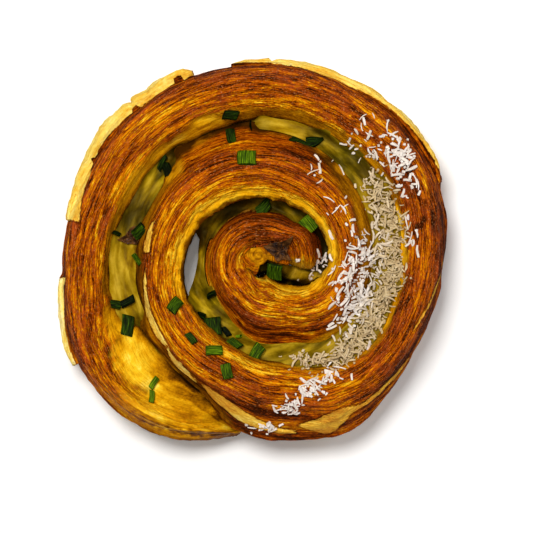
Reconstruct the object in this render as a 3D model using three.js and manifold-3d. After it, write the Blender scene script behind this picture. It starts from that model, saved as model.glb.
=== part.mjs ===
// Savory pastry swirl: a strip of laminated dough rolled into a loose coil of
// almost three turns, baked brown on its upper edge, with a cheese and egg
// filling between the turns, chopped chives, two scraps of mushroom and a
// crescent of grated cheese on one side.
//
// Millimetres, +Z up.  The origin is at the middle of the flat underside.
// Angles are degrees, counter-clockwise from +X seen from above.  The angle
// along the coil goes on past 360, so that one angle names one place: the coil
// starts at the tongue in the middle and grows outward to the tail.
import * as THREE from 'three';
import { mergeVertices } from 'three/addons/utils/BufferGeometryUtils.js';
import Module from 'manifold-3d';

const wasm = await Module();
wasm.setup();

// ---------------------------------------------------------------- dimensions

const COIL_CENTRE = new THREE.Vector2(1.6, -1.4);   // middle of the coil, from the origin
const STEP_ALONG = 4.5;                             // spacing of the sections along the coil
const STEP_TURN = 12;                               // and the most that one may turn, degrees
const CLEARANCE = 0.4;                              // between the dough and the filling

const CROWN_OUTER = 27.5;                           // height of the ridge on the outer turn
const CROWN_MIDDLE = 30.0;                          // on the middle turn
const CROWN_CENTRE = 30.5;                          // and on the innermost one
const CROWN_TAIL = 20.5;                            // where the tail is pressed flat
const CROWN_WAVE = 0.35;                            // slow rise and fall of the ridge along the coil
const RIDGE_ROUNDING = 2.4;                         // how far the shoulders lie below the crown
const BASE_BEVEL = 0.7;                             // the inner wall rounds off at the underside
const BASE_BEVEL_HEIGHT = 1.5;
const RIDGE_LAYERS = 6;                             // points across the ridge, up and down in turn
const LAYER_RELIEF = 0.42;                          // half the depth of the baked layers

const COIL_START = -18;                             // the tongue
const COIL_END = 984;                               // the tip of the tail
const END_LENGTH = 9;                               // both ends are drawn in over so many degrees
const END_WIDTH = 0.45;                             // to this share of the strip's width
const END_HEIGHT = 0.72;                            // and of its height
const OUTSIDE_FROM = 600;                           // past here no other turn lies outside
const OUTSIDE_FULLY = 640;

// Plan of the dough strip.  Each row: angle along the coil, then the distance
// from the middle of the coil to the inner wall, to the inner and outer edge
// of the baked ridge, and to the outer wall.
const STRIP = [
  [-18, 8.7, 9.6, 15.2, 16.2], [0, 7.8, 9.0, 15.0, 18.4], [20, 6.7, 8.4, 14.6, 18.2],
  [45, 3.9, 5.0, 11.2, 14.6], [90, 2.2, 3.1, 9.5, 13.4], [150, 3.1, 3.9, 10.6, 14.0],
  [210, 4.5, 5.6, 12.6, 16.2], [240, 4.5, 5.6, 14.6, 19.3], [270, 6.2, 8.4, 18.2, 25.8],
  [290, 5.9, 10.1, 20.2, 27.4], [310, 10.6, 15.1, 24.6, 31.9], [330, 16.5, 19.3, 27.4, 33.0],
  [360, 20.2, 21.8, 28.0, 33.3], [390, 18.5, 20.2, 28.6, 34.2], [420, 16.5, 18.5, 28.6, 35.6],
  [450, 16.2, 17.9, 28.6, 36.7], [480, 16.5, 18.5, 29.7, 37.2], [510, 18.5, 20.7, 29.7, 34.4],
  [540, 21.0, 22.4, 31.4, 35.6], [570, 23.5, 25.2, 33.6, 37.2], [600, 24.6, 26.9, 37.2, 41.4],
  [615, 26.3, 28.0, 38.6, 45.6], [630, 29.1, 30.8, 42.0, 51.2], [645, 31.6, 33.6, 44.8, 53.6],
  [658, 35.6, 37.4, 49.4, 55.3], [675, 39.5, 40.9, 49.8, 52.9], [690, 40.3, 41.7, 49.6, 51.2],
  [720, 40.0, 41.7, 50.4, 52.2], [735, 40.3, 42.4, 51.8, 54.1], [750, 40.6, 43.1, 52.6, 54.4],
  [780, 38.9, 41.7, 52.2, 54.0], [840, 38.9, 41.4, 51.5, 53.2], [870, 38.6, 41.2, 51.5, 52.8],
  [900, 41.7, 43.1, 53.4, 54.7], [915, 42.6, 45.4, 55.2, 56.6], [930, 42.3, 49.3, 57.5, 59.0],
  [945, 41.2, 52.6, 57.7, 59.1], [960, 43.1, 52.1, 56.0, 57.7], [972, 46.8, 51.0, 53.2, 54.9],
  [984, 49.8, 50.7, 51.5, 52.1],
];
const [INNER, RIDGE_IN, RIDGE_OUT, OUTER] = [1, 2, 3, 4];

// Height of the ridge along the coil, and of the filling in the groove that
// lies outside a place on the coil (before the tongue: inside the innermost
// turn, where a hole opens beside a taller core).
const CROWN = [
  [-18, CROWN_CENTRE - 5], [0, CROWN_CENTRE - 2], [40, CROWN_CENTRE], [240, CROWN_CENTRE],
  [330, CROWN_MIDDLE], [600, CROWN_MIDDLE], [700, CROWN_OUTER], [900, CROWN_OUTER],
  [945, CROWN_TAIL + 3.5], [965, CROWN_TAIL], [984, CROWN_TAIL - 7],
];
const CORE_LEVEL = 28;
const FILLING_LEVEL = [
  [-360, CORE_LEVEL], [-105, CORE_LEVEL], [-80, 13], [0, 13.5], [45, 17], [90, 16], [130, 14], [180, 16],
  [230, 18], [270, 21], [330, 22], [400, 21.5], [440, 19], [480, 18], [540, 19], [592, 18],
];
const FILLING_START = -98;
const FILLING_END = 590;
const TONGUE_GAP = 2;                               // degrees that it keeps off the tongue's end
const FLANK_BELOW_FILLING = 1.5;                    // the side of a turn goes on below the filling
const FILLING_SAG = 0.9;                            // its top sinks between the turns
const FILLING_RIPPLE = 0.45;

// Shape of the two sides of a turn, from the shoulder of the ridge down to the
// groove: share of the way sideways, share of the way down.
const INNER_SIDE = [0.55, 0.4];
const OUTER_SIDE = [0.4, 0.38];
const LIP_DITCH = [0.68, 0.78];                     // a lifted lip has a shallow ditch behind it
const LIP_EDGE = [0.88, 0.88];

// The slot between the innermost and the middle turn, open to the underside:
// angle, then the distance from the middle of the coil to its inner side.
const SLOT_INNER_SIDE = [
  [158, 19.6], [164, 17.4], [172, 17.1], [182, 17.1], [190, 17.7], [200, 19.4], [208, 22.2],
  [214, 26],
];

// Pale sheets of dough that stand off the outer wall like a collar: start and
// end along the coil, how far they stand out at each end, and their top.
const COLLAR = [
  { from: 742, to: 818, atStart: 3.0, atEnd: 1.2, top: 18 },
  { from: 830, to: 869.4, atStart: 2.6, atEnd: 3.8, top: 19 },
  { from: 870, to: 889.5, atStart: 3.2, atEnd: 0.7, top: 17 },
  { from: 907, to: 931, atStart: 1.2, atEnd: 2.4, top: 14 },
];
const COLLAR_FOOT = 5;                              // where a collar ends above the underside
const WALL_LEVEL = 16;                              // widest level of the outer wall
const UNDERCUT = 1.3;                               // the outer wall draws in below the collar
const COLLAR_SLOPE = 0.85;                          // share of its reach that a collar has at its top

// Thin lips where a sheet of dough has lifted from the outer side of the
// middle turn; the last one ends in a broad flap.
const LIPS = [{ from: 521, to: 539, height: 1.2 }, { from: 547, to: 664, height: 1.6 }];

// Core of filling inside the innermost turn.
const CORE_SIDES = 40;
const CORE_AT_HOLE = 3.2;                           // its radius where the hole opens beside it
const CORE_SLIMMER = 0.25;                          // how far it stays inside the strip of filling
const HOLE_OPENS = [257, 282];                      // over these angles it narrows
const HOLE_CLOSES = [333, 342];                     // and here it widens again to meet the tongue

// Chopped chives: x, y, length, width, heading of the length in degrees.
const CHIVE_THICKNESS = 1.5;
const CHIVE_SUNK = 0.35;
const NUDGES = 25;                                  // places tried: this one and three rings of eight
const NUDGE_STEP = 0.7;                             // distance from one ring to the next
const CHIVES = [
  [-6.3, 37.8, 3.9, 2.4, -3], [-6.0, 31.6, 4.4, 2.2, 98], [-1.5, 25.5, 5.0, 3.8, 0],
  [-25.3, 24.9, 4.2, 1.5, 55], [-23.9, 22.7, 4.4, 2.5, 110], [-31.8, 5.0, 4.6, 3.8, 60],
  [-38.5, 4.8, 2.2, 1.2, -25], [-0.2, 34.4, 4.9, 0.9, 100], [15.0, 30.5, 9.5, 2.0, 3],
  [3.2, 11.8, 6.0, 3.4, 52], [15.8, 7.6, 5.4, 4.2, 118], [-32.1, -2.5, 3.6, 1.5, -60],
  [-38.8, -15.4, 3.0, 2.4, -10], [-35.2, -14.4, 4.0, 2.2, 28], [-35.4, -21.3, 5.6, 3.6, 83],
  [-21.7, -15.4, 4.4, 3.2, 60], [-16.9, -24.6, 3.4, 2.6, -50], [-10.8, -28.0, 4.4, 2.8, 2],
  [-7.1, -33.6, 4.2, 3.0, -75], [-11.1, -21.3, 5.0, 4.4, -6], [-14.8, -18.5, 2.4, 1.8, -20],
  [-11.1, -12.3, 3.4, 1.6, 25], [-5.2, -26.3, 3.6, 2.4, -30], [-27.9, -37.5, 3.6, 1.6, 58],
  [-28.4, -41.2, 3.4, 1.4, 86], [6.3, -5.9, 4.0, 3.8, 86], [1.3, -28.8, 5.4, 3.2, 65],
];

// Scraps of browned mushroom, each a rough pebble: x, y, length, width, heading.
const MUSHROOM_THICKNESS = 1.8;
const MUSHROOMS = [
  [5.6, 1.4, 5.2, 2.6, -35], [6.8, 2.4, 4.6, 2.0, 48], [-34.6, 3.1, 5.4, 2.0, -8],
];

// Grated cheese: patches of shreds, each a sector of the coil's plan.
const SHRED = { longest: 3.9, shortest: 2.2, width: 0.8, thickness: 0.7, sunk: 0.18 };
const CHEESE_SEED = 20;
const CHEESE = [
  { from: -48, to: 8, near: 25.5, far: 31, count: 22, on: 'pastry' },
  { from: 8, to: 52, near: 21.5, far: 32, count: 8, on: 'pastry' },
  { from: -58, to: 40, near: 33.5, far: 41, count: 34, on: 'filling' },
  { from: 20, to: 50, near: 43, far: 53, count: 12, on: 'pastry' },
  { from: -82, to: -47, near: 38, far: 46, count: 12, on: 'pastry' },
];

// ------------------------------------------------------------- small helpers

const radians = THREE.MathUtils.degToRad;
const mix = THREE.MathUtils.lerp;

function ramp(from, to, value) {
  return THREE.MathUtils.smoothstep(value, from, to);
}

// Value of one column of a table at an angle: a smooth curve through the rows
// that never swings past them.
function along(table, angle, column = 1) {
  const last = table.length - 1;
  if (angle <= table[0][0]) return table[0][column];
  if (angle >= table[last][0]) return table[last][column];
  const row = table.findIndex((entry) => entry[0] > angle) - 1;
  const slope = (i) => (i < 0 || i >= last ? 0
    : (table[i + 1][column] - table[i][column]) / (table[i + 1][0] - table[i][0]));
  const tangent = (i) => {
    const [before, after] = [slope(i - 1), slope(i)];
    return before * after <= 0 ? 0 : 2 * before * after / (before + after);
  };
  const span = table[row + 1][0] - table[row][0];
  const t = (angle - table[row][0]) / span;
  const rise = t * t * (3 - 2 * t);
  return table[row][column] * (1 - rise) + table[row + 1][column] * rise
    + span * t * (1 - t) * ((1 - t) * tangent(row) - t * tangent(row + 1));
}

function randomNumbers(seed) {
  let state = seed;
  return () => {
    state = (state * 1664525 + 1013904223) % 4294967296;
    return state / 4294967296;
  };
}

function placeOnCoil(angle, radius, height) {
  const turn = radians(angle);
  return [
    COIL_CENTRE.x + radius * Math.cos(turn),
    COIL_CENTRE.y + radius * Math.sin(turn),
    height,
  ];
}

// Closed solid through a row of sections with equal numbers of points, each
// closed at its two ends by a fan round the middle of the end section.
function loft(sections) {
  const count = sections[0].length;
  const positions = sections.flat(2);
  const indices = [];
  for (let i = 0; i + 1 < sections.length; i += 1) {
    for (let j = 0; j < count; j += 1) {
      const a = i * count + j;
      const b = i * count + (j + 1) % count;
      indices.push(a, b, b + count, a, b + count, a + count);
    }
  }
  for (const [index, start] of [[0, 0], [sections.length - 1, (sections.length - 1) * count]]) {
    const middle = positions.length / 3;
    for (let axis = 0; axis < 3; axis += 1) {
      positions.push(sections[index].reduce((sum, point) => sum + point[axis], 0) / count);
    }
    for (let j = 0; j < count; j += 1) {
      const a = start + j;
      const b = start + (j + 1) % count;
      indices.push(middle, ...(index === 0 ? [b, a] : [a, b]));
    }
  }
  const geometry = new THREE.BufferGeometry();
  geometry.setAttribute('position', new THREE.Float32BufferAttribute(positions, 3));
  geometry.setIndex(indices);
  return geometry;
}

function solidOf(geometry) {
  const bare = geometry.clone();
  bare.deleteAttribute('normal');
  bare.deleteAttribute('uv');
  const welded = mergeVertices(bare, 1e-4);
  return new wasm.Manifold(new wasm.Mesh({
    numProp: 3,
    vertProperties: new Float32Array(welded.attributes.position.array),
    triVerts: new Uint32Array(welded.index.array),
  }));
}

function geometryOf(solid) {
  const mesh = solid.getMesh();
  const geometry = new THREE.BufferGeometry();
  geometry.setAttribute('position', new THREE.BufferAttribute(mesh.vertProperties, 3));
  geometry.setIndex(new THREE.BufferAttribute(mesh.triVerts, 1));
  geometry.computeVertexNormals();
  return geometry;
}

// ------------------------------------------------------------ the dough strip

function collarAt(angle) {
  const sheet = COLLAR.find(({ from, to }) => angle >= from && angle <= to);
  if (!sheet) return { reach: 0, top: WALL_LEVEL };
  const t = (angle - sheet.from) / (sheet.to - sheet.from);
  return { reach: mix(sheet.atStart, sheet.atEnd, t), top: sheet.top };
}

function lipAt(angle) {
  const lip = LIPS.find(({ from, to }) => angle >= from && angle <= to);
  if (!lip) return 0;
  return lip.height * ramp(lip.from, lip.from + 4, angle) * (1 - ramp(lip.to - 6, lip.to, angle));
}

// Baked layers: neighbouring points across the ridge lie high and low in turn,
// by an amount that swells and fades along the coil.
function layerRelief(angle, layer) {
  const swell = Math.sin(radians(angle) * (2.3 + 0.37 * layer) + 1.7 * layer);
  return LAYER_RELIEF * (layer % 2 === 0 ? 1 : -1) * (0.75 + 0.55 * swell);
}

function stripSection(angle) {
  const inner = along(STRIP, angle, INNER);
  const ridgeIn = along(STRIP, angle, RIDGE_IN);
  const ridgeOut = along(STRIP, angle, RIDGE_OUT);
  const outer = along(STRIP, angle, OUTER);
  const crown = along(CROWN, angle) + CROWN_WAVE * Math.sin(radians(angle) * 3.1);
  const shoulder = crown - RIDGE_ROUNDING;
  const innerLevel = Math.min(along(FILLING_LEVEL, angle - 360) - FLANK_BELOW_FILLING, shoulder - 2);
  const outside = ramp(OUTSIDE_FROM, OUTSIDE_FULLY, angle);
  const collar = collarAt(angle);
  const outerLevel = Math.min(
    mix(along(FILLING_LEVEL, angle) - FLANK_BELOW_FILLING, collar.top + 1.5, outside),
    shoulder - 2.5,
  );
  const lip = lipAt(angle);

  const innerSide = ([aside, down]) => [mix(ridgeIn, inner, aside), mix(shoulder, innerLevel, down)];
  const outerSide = ([aside, down]) => [mix(ridgeOut, outer, aside), mix(shoulder, outerLevel, down)];
  const [ditch, edge] = [outerSide(LIP_DITCH), outerSide(LIP_EDGE)];
  const points = [
    [inner + BASE_BEVEL, 0],
    [inner, BASE_BEVEL_HEIGHT],
    [inner, innerLevel],
    innerSide(INNER_SIDE),
    [ridgeIn, shoulder],
  ];
  for (let layer = 1; layer <= RIDGE_LAYERS; layer += 1) {
    const t = layer / (RIDGE_LAYERS + 1);
    const sag = RIDGE_ROUNDING * (2 * t - 1) ** 2;
    points.push([mix(ridgeIn, ridgeOut, t), crown - sag + layerRelief(angle, layer)]);
  }
  points.push(
    [ridgeOut, shoulder],
    outerSide(OUTER_SIDE),
    [ditch[0], ditch[1] - lip / 2],
    [edge[0], edge[1] + lip],
    [outer, outerLevel],
    [outer + outside * collar.reach * COLLAR_SLOPE, Math.min(collar.top, outerLevel - 1)],
    [outer + outside * collar.reach, COLLAR_FOOT],
    [outer - BASE_BEVEL / 2 - outside * UNDERCUT, 0],
  );
  return points;
}

// The two ends of the strip are drawn in, so that they are blunt and rounded.
function drawnIn(points, angle) {
  const fromEnd = Math.min(angle - COIL_START, COIL_END - angle) / END_LENGTH;
  const fullness = Math.sqrt(1 - (1 - THREE.MathUtils.clamp(fromEnd, 0, 1)) ** 2);
  const middle = (points[0][0] + points[points.length - 1][0]) / 2;
  const width = mix(END_WIDTH, 1, fullness);
  const height = mix(END_HEIGHT, 1, fullness);
  return points.map(([radius, z]) => [mix(middle, radius, width), z * height]);
}

function sectionAngles(start, end, extra = []) {
  const angles = [...extra];
  for (let angle = start; angle < end;) {
    angles.push(angle);
    const radius = (along(STRIP, angle, INNER) + along(STRIP, angle, OUTER)) / 2;
    angle += Math.min(THREE.MathUtils.radToDeg(STEP_ALONG / radius), STEP_TURN);
  }
  angles.push(end);
  angles.sort((a, b) => a - b);
  return angles.filter((angle, i) => i === 0 || angle - angles[i - 1] > 0.15);
}

function stripAngles() {
  const ends = COLLAR.flatMap(({ from, to }) => [from - 0.25, from, to, to + 0.25]);
  const rounding = [0.12, 0.45].flatMap((t) => [COIL_START + t * END_LENGTH, COIL_END - t * END_LENGTH]);
  return sectionAngles(COIL_START, COIL_END, [...ends, ...rounding]);
}

function doughStrip() {
  return loft(stripAngles().map((angle) => (
    drawnIn(stripSection(angle), angle).map(([radius, z]) => placeOnCoil(angle, radius, z))
  )));
}

// ---------------------------------------------------------------- the filling

function fillingSection(angle) {
  const beforeTongue = angle < COIL_START - TONGUE_GAP;
  const start = beforeTongue ? CORE_AT_HOLE - 1 : along(STRIP, angle, OUTER) + CLEARANCE;
  let end = along(STRIP, angle + 360, INNER) - CLEARANCE;
  const [slotFrom, slotTo] = [SLOT_INNER_SIDE[0][0], SLOT_INNER_SIDE.at(-1)[0]];
  if (angle > slotFrom && angle < slotTo) end = Math.min(end, along(SLOT_INNER_SIDE, angle));
  const level = along(FILLING_LEVEL, angle);
  const points = [[start, 0], [start, level]];
  for (const t of [0.25, 0.5, 0.75]) {
    const ripple = FILLING_RIPPLE * Math.sin(radians(angle) * 5.3 + 4 * t);
    points.push([mix(start, end, t), level - FILLING_SAG * Math.sin(Math.PI * t) + ripple]);
  }
  points.push([end, level], [end, 0]);
  return points;
}

function fillingCore() {
  const rings = [[], []];
  for (let side = 0; side < CORE_SIDES; side += 1) {
    const angle = 360 * side / CORE_SIDES;
    const coilAngle = angle > HOLE_CLOSES[0] ? angle - 360 : angle;
    const beside = along(STRIP, coilAngle, INNER) - CLEARANCE;
    const opening = ramp(...HOLE_OPENS, angle) * (1 - ramp(...HOLE_CLOSES, angle));
    const radius = mix(beside, Math.min(beside, CORE_AT_HOLE), opening) - CORE_SLIMMER;
    const level = CORE_LEVEL - FILLING_SAG + FILLING_RIPPLE * Math.sin(radians(angle) * 3);
    rings[0].push(placeOnCoil(angle, radius, 0));
    rings[1].push(placeOnCoil(angle, radius, level));
  }
  return loft(rings);
}

function fillingBody() {
  const hole = sectionAngles(FILLING_START, COIL_START - TONGUE_GAP - 0.2);
  const groove = stripAngles().filter((angle) => angle > COIL_START + 0.5 && angle < FILLING_END);
  const angles = [...hole, COIL_START - TONGUE_GAP + 0.2, ...groove];
  const strip = loft(angles.map((angle) => (
    fillingSection(angle).map(([radius, z]) => placeOnCoil(angle, radius, z))
  )));
  return geometryOf(solidOf(strip).add(solidOf(fillingCore())));
}

// --------------------------------------------------------------- the toppings

const DOWN = new THREE.Vector3(0, 0, -1);
const STEEPEST = 1.0;                               // tilt past which a piece would slide, radians
const GUARD = 1.2;                                  // room kept clear round a piece, times its size

// What lies under a point of the plan: its name and its height.
function under(meshes, x, y) {
  const ray = new THREE.Raycaster(new THREE.Vector3(x, y, 60), DOWN);
  const hit = ray.intersectObjects(meshes)[0];
  return hit ? { name: hit.object.name, height: hit.point.z } : null;
}

// Lays a small piece along its heading on the surface below it, tilted to
// follow it.  It is left out where it would come too near another body.
function layDown(shape, bodies, { x, y, length, width, heading, lift }) {
  const meshes = bodies.map(({ mesh }) => mesh);
  const turn = radians(heading);
  const forward = new THREE.Vector2(Math.cos(turn), Math.sin(turn));
  const spot = (ahead, left) => under(
    meshes,
    x + forward.x * ahead - forward.y * left,
    y + forward.y * ahead + forward.x * left,
  );
  const middle = spot(0, 0);
  if (!middle) return null;
  const tilt = (high, low, run) => (
    high?.name === middle.name && low?.name === middle.name
      ? Math.atan2(high.height - low.height, run) : 0
  );
  const pitch = tilt(spot(length / 2, 0), spot(-length / 2, 0), length);
  const roll = tilt(spot(0, width / 2), spot(0, -width / 2), width);
  if (Math.max(Math.abs(pitch), Math.abs(roll)) > STEEPEST) return null;
  const piece = shape.clone();
  piece.rotateX(roll);
  piece.rotateY(-pitch);
  piece.rotateZ(turn);
  const guard = solidOf(piece.clone().scale(GUARD, GUARD, GUARD).translate(x, y, middle.height + lift));
  const clear = bodies.every(({ mesh, solid }) => (
    mesh.name === middle.name || solid.intersect(guard).isEmpty()
  ));
  piece.translate(x, y, middle.height + lift);
  return clear ? { name: middle.name, piece } : null;
}

// Lays a piece as near to its place as it fits: it is moved a little, or else
// cut shorter, where it would come too near another body.
function settle(shapeOf, bodies, { x, y, length, width, heading, lift }) {
  for (let share = 1; share > 0.5; share *= 0.8) {
    const shape = shapeOf(share * length, width);
    for (let nudge = 0; nudge < NUDGES; nudge += 1) {
      const aside = NUDGE_STEP * Math.ceil(nudge / 8);
      const toward = radians(45 * nudge);
      const laid = layDown(shape, bodies, {
        x: x + aside * Math.cos(toward),
        y: y + aside * Math.sin(toward),
        length: share * length,
        width,
        heading,
        lift,
      });
      if (laid) return laid;
    }
  }
  return null;
}

function chives(bodies) {
  const tube = (length, width) => new THREE.CylinderGeometry(0.5, 0.5, 1, 6)
    .rotateZ(Math.PI / 2).scale(length, width, CHIVE_THICKNESS);
  const lift = CHIVE_THICKNESS / 2 - CHIVE_SUNK;
  return CHIVES.map(([x, y, length, width, heading]) => (
    settle(tube, bodies, { x, y, length, width, heading, lift })
  )).filter(Boolean);
}

function mushrooms(bodies) {
  const pebble = (length, width) => new THREE.IcosahedronGeometry(0.5, 0)
    .scale(length, width, MUSHROOM_THICKNESS);
  const lift = 0.2 * MUSHROOM_THICKNESS;
  return MUSHROOMS.map(([x, y, length, width, heading]) => (
    settle(pebble, bodies, { x, y, length, width, heading, lift })
  )).filter(Boolean);
}

function gratedCheese(bodies) {
  const random = randomNumbers(CHEESE_SEED);
  const laid = [];
  for (const patch of CHEESE) {
    let left = patch.count;
    for (let attempt = 0; attempt < patch.count * 12 && left > 0; attempt += 1) {
      const angle = mix(patch.from, patch.to, random());
      const [x, y] = placeOnCoil(angle, mix(patch.near, patch.far, random()), 0);
      const length = mix(SHRED.shortest, SHRED.longest, random());
      const heading = 360 * random();
      const shred = new THREE.BoxGeometry(length, SHRED.width, SHRED.thickness);
      const lift = SHRED.thickness / 2 - SHRED.sunk;
      const found = layDown(shred, bodies, { x, y, length, width: SHRED.width, heading, lift });
      if (found && found.name === patch.on) {
        laid.push(found);
        left -= 1;
      }
    }
  }
  return laid;
}

// ----------------------------------------------------------------- the pieces

function named(name, geometry, color, roughness) {
  const material = new THREE.MeshStandardMaterial({ color, roughness, metalness: 0 });
  const mesh = new THREE.Mesh(geometry, material);
  mesh.name = name;
  mesh.updateMatrixWorld(true);
  return mesh;
}

const bodies = [
  named('pastry', doughStrip(), 0xb8620c, 0.45),
  named('filling', fillingBody(), 0xc29a1c, 0.4),
].map((mesh) => ({ mesh, solid: solidOf(mesh.geometry) }));
const toppings = [...chives(bodies), ...mushrooms(bodies), ...gratedCheese(bodies)];

const group = new THREE.Group();
for (const { mesh, solid } of bodies) {
  const pieces = toppings.filter(({ name }) => name === mesh.name);
  const fused = wasm.Manifold.union([solid, ...pieces.map(({ piece }) => solidOf(piece))]);
  const largest = fused.decompose().sort((a, b) => b.volume() - a.volume())[0];
  mesh.geometry = geometryOf(largest);
  group.add(mesh);
}

export default group;
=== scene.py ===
"""Looks of a savory pastry swirl: laminated dough with filling, chives, mushroom and grated cheese."""
import math

import bpy
import numpy as np
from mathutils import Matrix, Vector
from mathutils.bvhtree import BVHTree


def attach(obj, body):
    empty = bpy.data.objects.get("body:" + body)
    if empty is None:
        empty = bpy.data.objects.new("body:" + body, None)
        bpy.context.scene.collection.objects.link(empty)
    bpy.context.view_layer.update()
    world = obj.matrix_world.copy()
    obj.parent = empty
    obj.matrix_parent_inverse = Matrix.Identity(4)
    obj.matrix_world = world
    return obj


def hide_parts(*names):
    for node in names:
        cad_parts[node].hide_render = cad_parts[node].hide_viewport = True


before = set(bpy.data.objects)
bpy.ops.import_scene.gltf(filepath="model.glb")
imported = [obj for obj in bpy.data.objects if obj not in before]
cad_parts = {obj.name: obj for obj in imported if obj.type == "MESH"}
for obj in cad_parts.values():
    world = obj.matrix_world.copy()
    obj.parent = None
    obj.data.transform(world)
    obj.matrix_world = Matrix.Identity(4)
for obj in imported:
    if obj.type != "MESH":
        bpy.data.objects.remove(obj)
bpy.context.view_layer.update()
MM = 0.001

# -------- the coil
# Millimetres and degrees.  The angle runs on along the coil past 360: the coil starts at the
# tongue in its middle and grows outward, counter-clockwise seen from above, to the tail.

COIL_X, COIL_Y = 1.6, -1.4
COIL_START, COIL_END = -18.0, 984.0
END_LENGTH, END_WIDTH, END_HEIGHT = 9.0, 0.45, 0.72
OUTSIDE_FROM, OUTSIDE_FULLY = 600.0, 640.0
CROWN_OUTER, CROWN_MIDDLE, CROWN_CENTRE, CROWN_TAIL = 27.5, 30.0, 30.5, 20.5
CROWN_WAVE = 0.35
RIDGE_ROUNDING = 2.4

# angle, then distance from the middle to the inner wall, the ridge's two edges and the outer wall
STRIP = np.array([
    [-18, 8.7, 9.6, 15.2, 16.2], [0, 7.8, 9, 15, 18.4], [20, 6.7, 8.4, 14.6, 18.2],
    [45, 3.9, 5, 11.2, 14.6], [90, 2.2, 3.1, 9.5, 13.4], [150, 3.1, 3.9, 10.6, 14],
    [210, 4.5, 5.6, 12.6, 16.2], [240, 4.5, 5.6, 14.6, 19.3], [270, 6.2, 8.4, 18.2, 25.8],
    [290, 5.9, 10.1, 20.2, 27.4], [310, 10.6, 15.1, 24.6, 31.9], [330, 16.5, 19.3, 27.4, 33],
    [360, 20.2, 21.8, 28, 33.3], [390, 18.5, 20.2, 28.6, 34.2], [420, 16.5, 18.5, 28.6, 35.6],
    [450, 16.2, 17.9, 28.6, 36.7], [480, 16.5, 18.5, 29.7, 37.2], [510, 18.5, 20.7, 29.7, 34.4],
    [540, 21, 22.4, 31.4, 35.6], [570, 23.5, 25.2, 33.6, 37.2], [600, 24.6, 26.9, 37.2, 41.4],
    [615, 26.3, 28, 38.6, 45.6], [630, 29.1, 30.8, 42, 51.2], [645, 31.6, 33.6, 44.8, 53.6],
    [658, 35.6, 37.4, 49.4, 55.3], [675, 39.5, 40.9, 49.8, 52.9], [690, 40.3, 41.7, 49.6, 51.2],
    [720, 40, 41.7, 50.4, 52.2], [735, 40.3, 42.4, 51.8, 54.1], [750, 40.6, 43.1, 52.6, 54.4],
    [780, 38.9, 41.7, 52.2, 54], [840, 38.9, 41.4, 51.5, 53.2], [870, 38.6, 41.2, 51.5, 52.8],
    [900, 41.7, 43.1, 53.4, 54.7], [915, 42.6, 45.4, 55.2, 56.6], [930, 42.3, 49.3, 57.5, 59],
    [945, 41.2, 52.6, 57.7, 59.1], [960, 43.1, 52.1, 56, 57.7], [972, 46.8, 51, 53.2, 54.9],
    [984, 49.8, 50.7, 51.5, 52.1],
])
INNER, RIDGE_IN, RIDGE_OUT, OUTER = 1, 2, 3, 4
CROWN = np.array([
    [-18, CROWN_CENTRE - 5], [0, CROWN_CENTRE - 2], [40, CROWN_CENTRE], [240, CROWN_CENTRE],
    [330, CROWN_MIDDLE], [600, CROWN_MIDDLE], [700, CROWN_OUTER], [900, CROWN_OUTER],
    [945, CROWN_TAIL + 3.5], [965, CROWN_TAIL], [984, CROWN_TAIL - 7],
])
CORE_LEVEL = 28.0
FILLING_LEVEL = np.array([
    [-360, CORE_LEVEL], [-105, CORE_LEVEL], [-80, 13], [-50, 14.5], [-30, 18], [-19, 19.5],
    [-10, 14], [0, 13.5], [45, 17], [90, 16], [130, 14], [180, 16], [230, 18], [270, 21], [330, 22],
    [400, 21.5], [440, 19], [480, 18], [540, 19], [592, 18],
])
FLANK_BELOW_FILLING = 1.5

# the slot beside the innermost turn, open to the underside: angle, distance to its inner side
SLOT_INNER_SIDE = np.array([
    [158, 19.6], [164, 17.4], [172, 17.1], [182, 17.1], [190, 17.7], [200, 19.4], [208, 22.2],
    [214, 26],
])
# pale sheets that stand off the outer wall: angle, then how far they reach
COLLAR_REACH = np.array([
    [739, 0], [743, 1.3], [750, 3], [760, 2.9], [764, 3.1], [770, 2.2], [775, 2.5], [782, 1.9],
    [792, 2.1], [800, 1.9], [804, 1.8], [806, 1], [807, 1.9], [814, 1.8], [818, 0.9], [818.1, 0],
    [829.9, 0], [830, 1.8], [832, 3.1], [835, 3.5], [840, 3.6], [844, 2.8], [846, 3.3], [849, 3.7],
    [849.7, 2.6], [850.4, 3.2], [852, 3.9], [856, 4.1], [860, 4.5], [863, 4.4], [866, 3.6],
    [870, 3.3], [875, 2.7], [880, 2], [885, 1.5], [889.3, 0.7], [889.5, 0], [905, 0], [907, 1.2],
    [915, 1.8], [920, 2], [925, 2.2], [930.9, 2.2], [931, 0],
])
COLLAR_LEVELS = [(742, 818, 18), (830, 889.5, 19), (907, 931, 15)]      # from, to, height
COLLAR_TAPER = (-6, -3, 3, 6)
COLLAR_FOOT, WALL_LEVEL, UNDERCUT = 5.0, 16.0, 1.3
OUTSIDE_SWELL = 0.5
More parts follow.
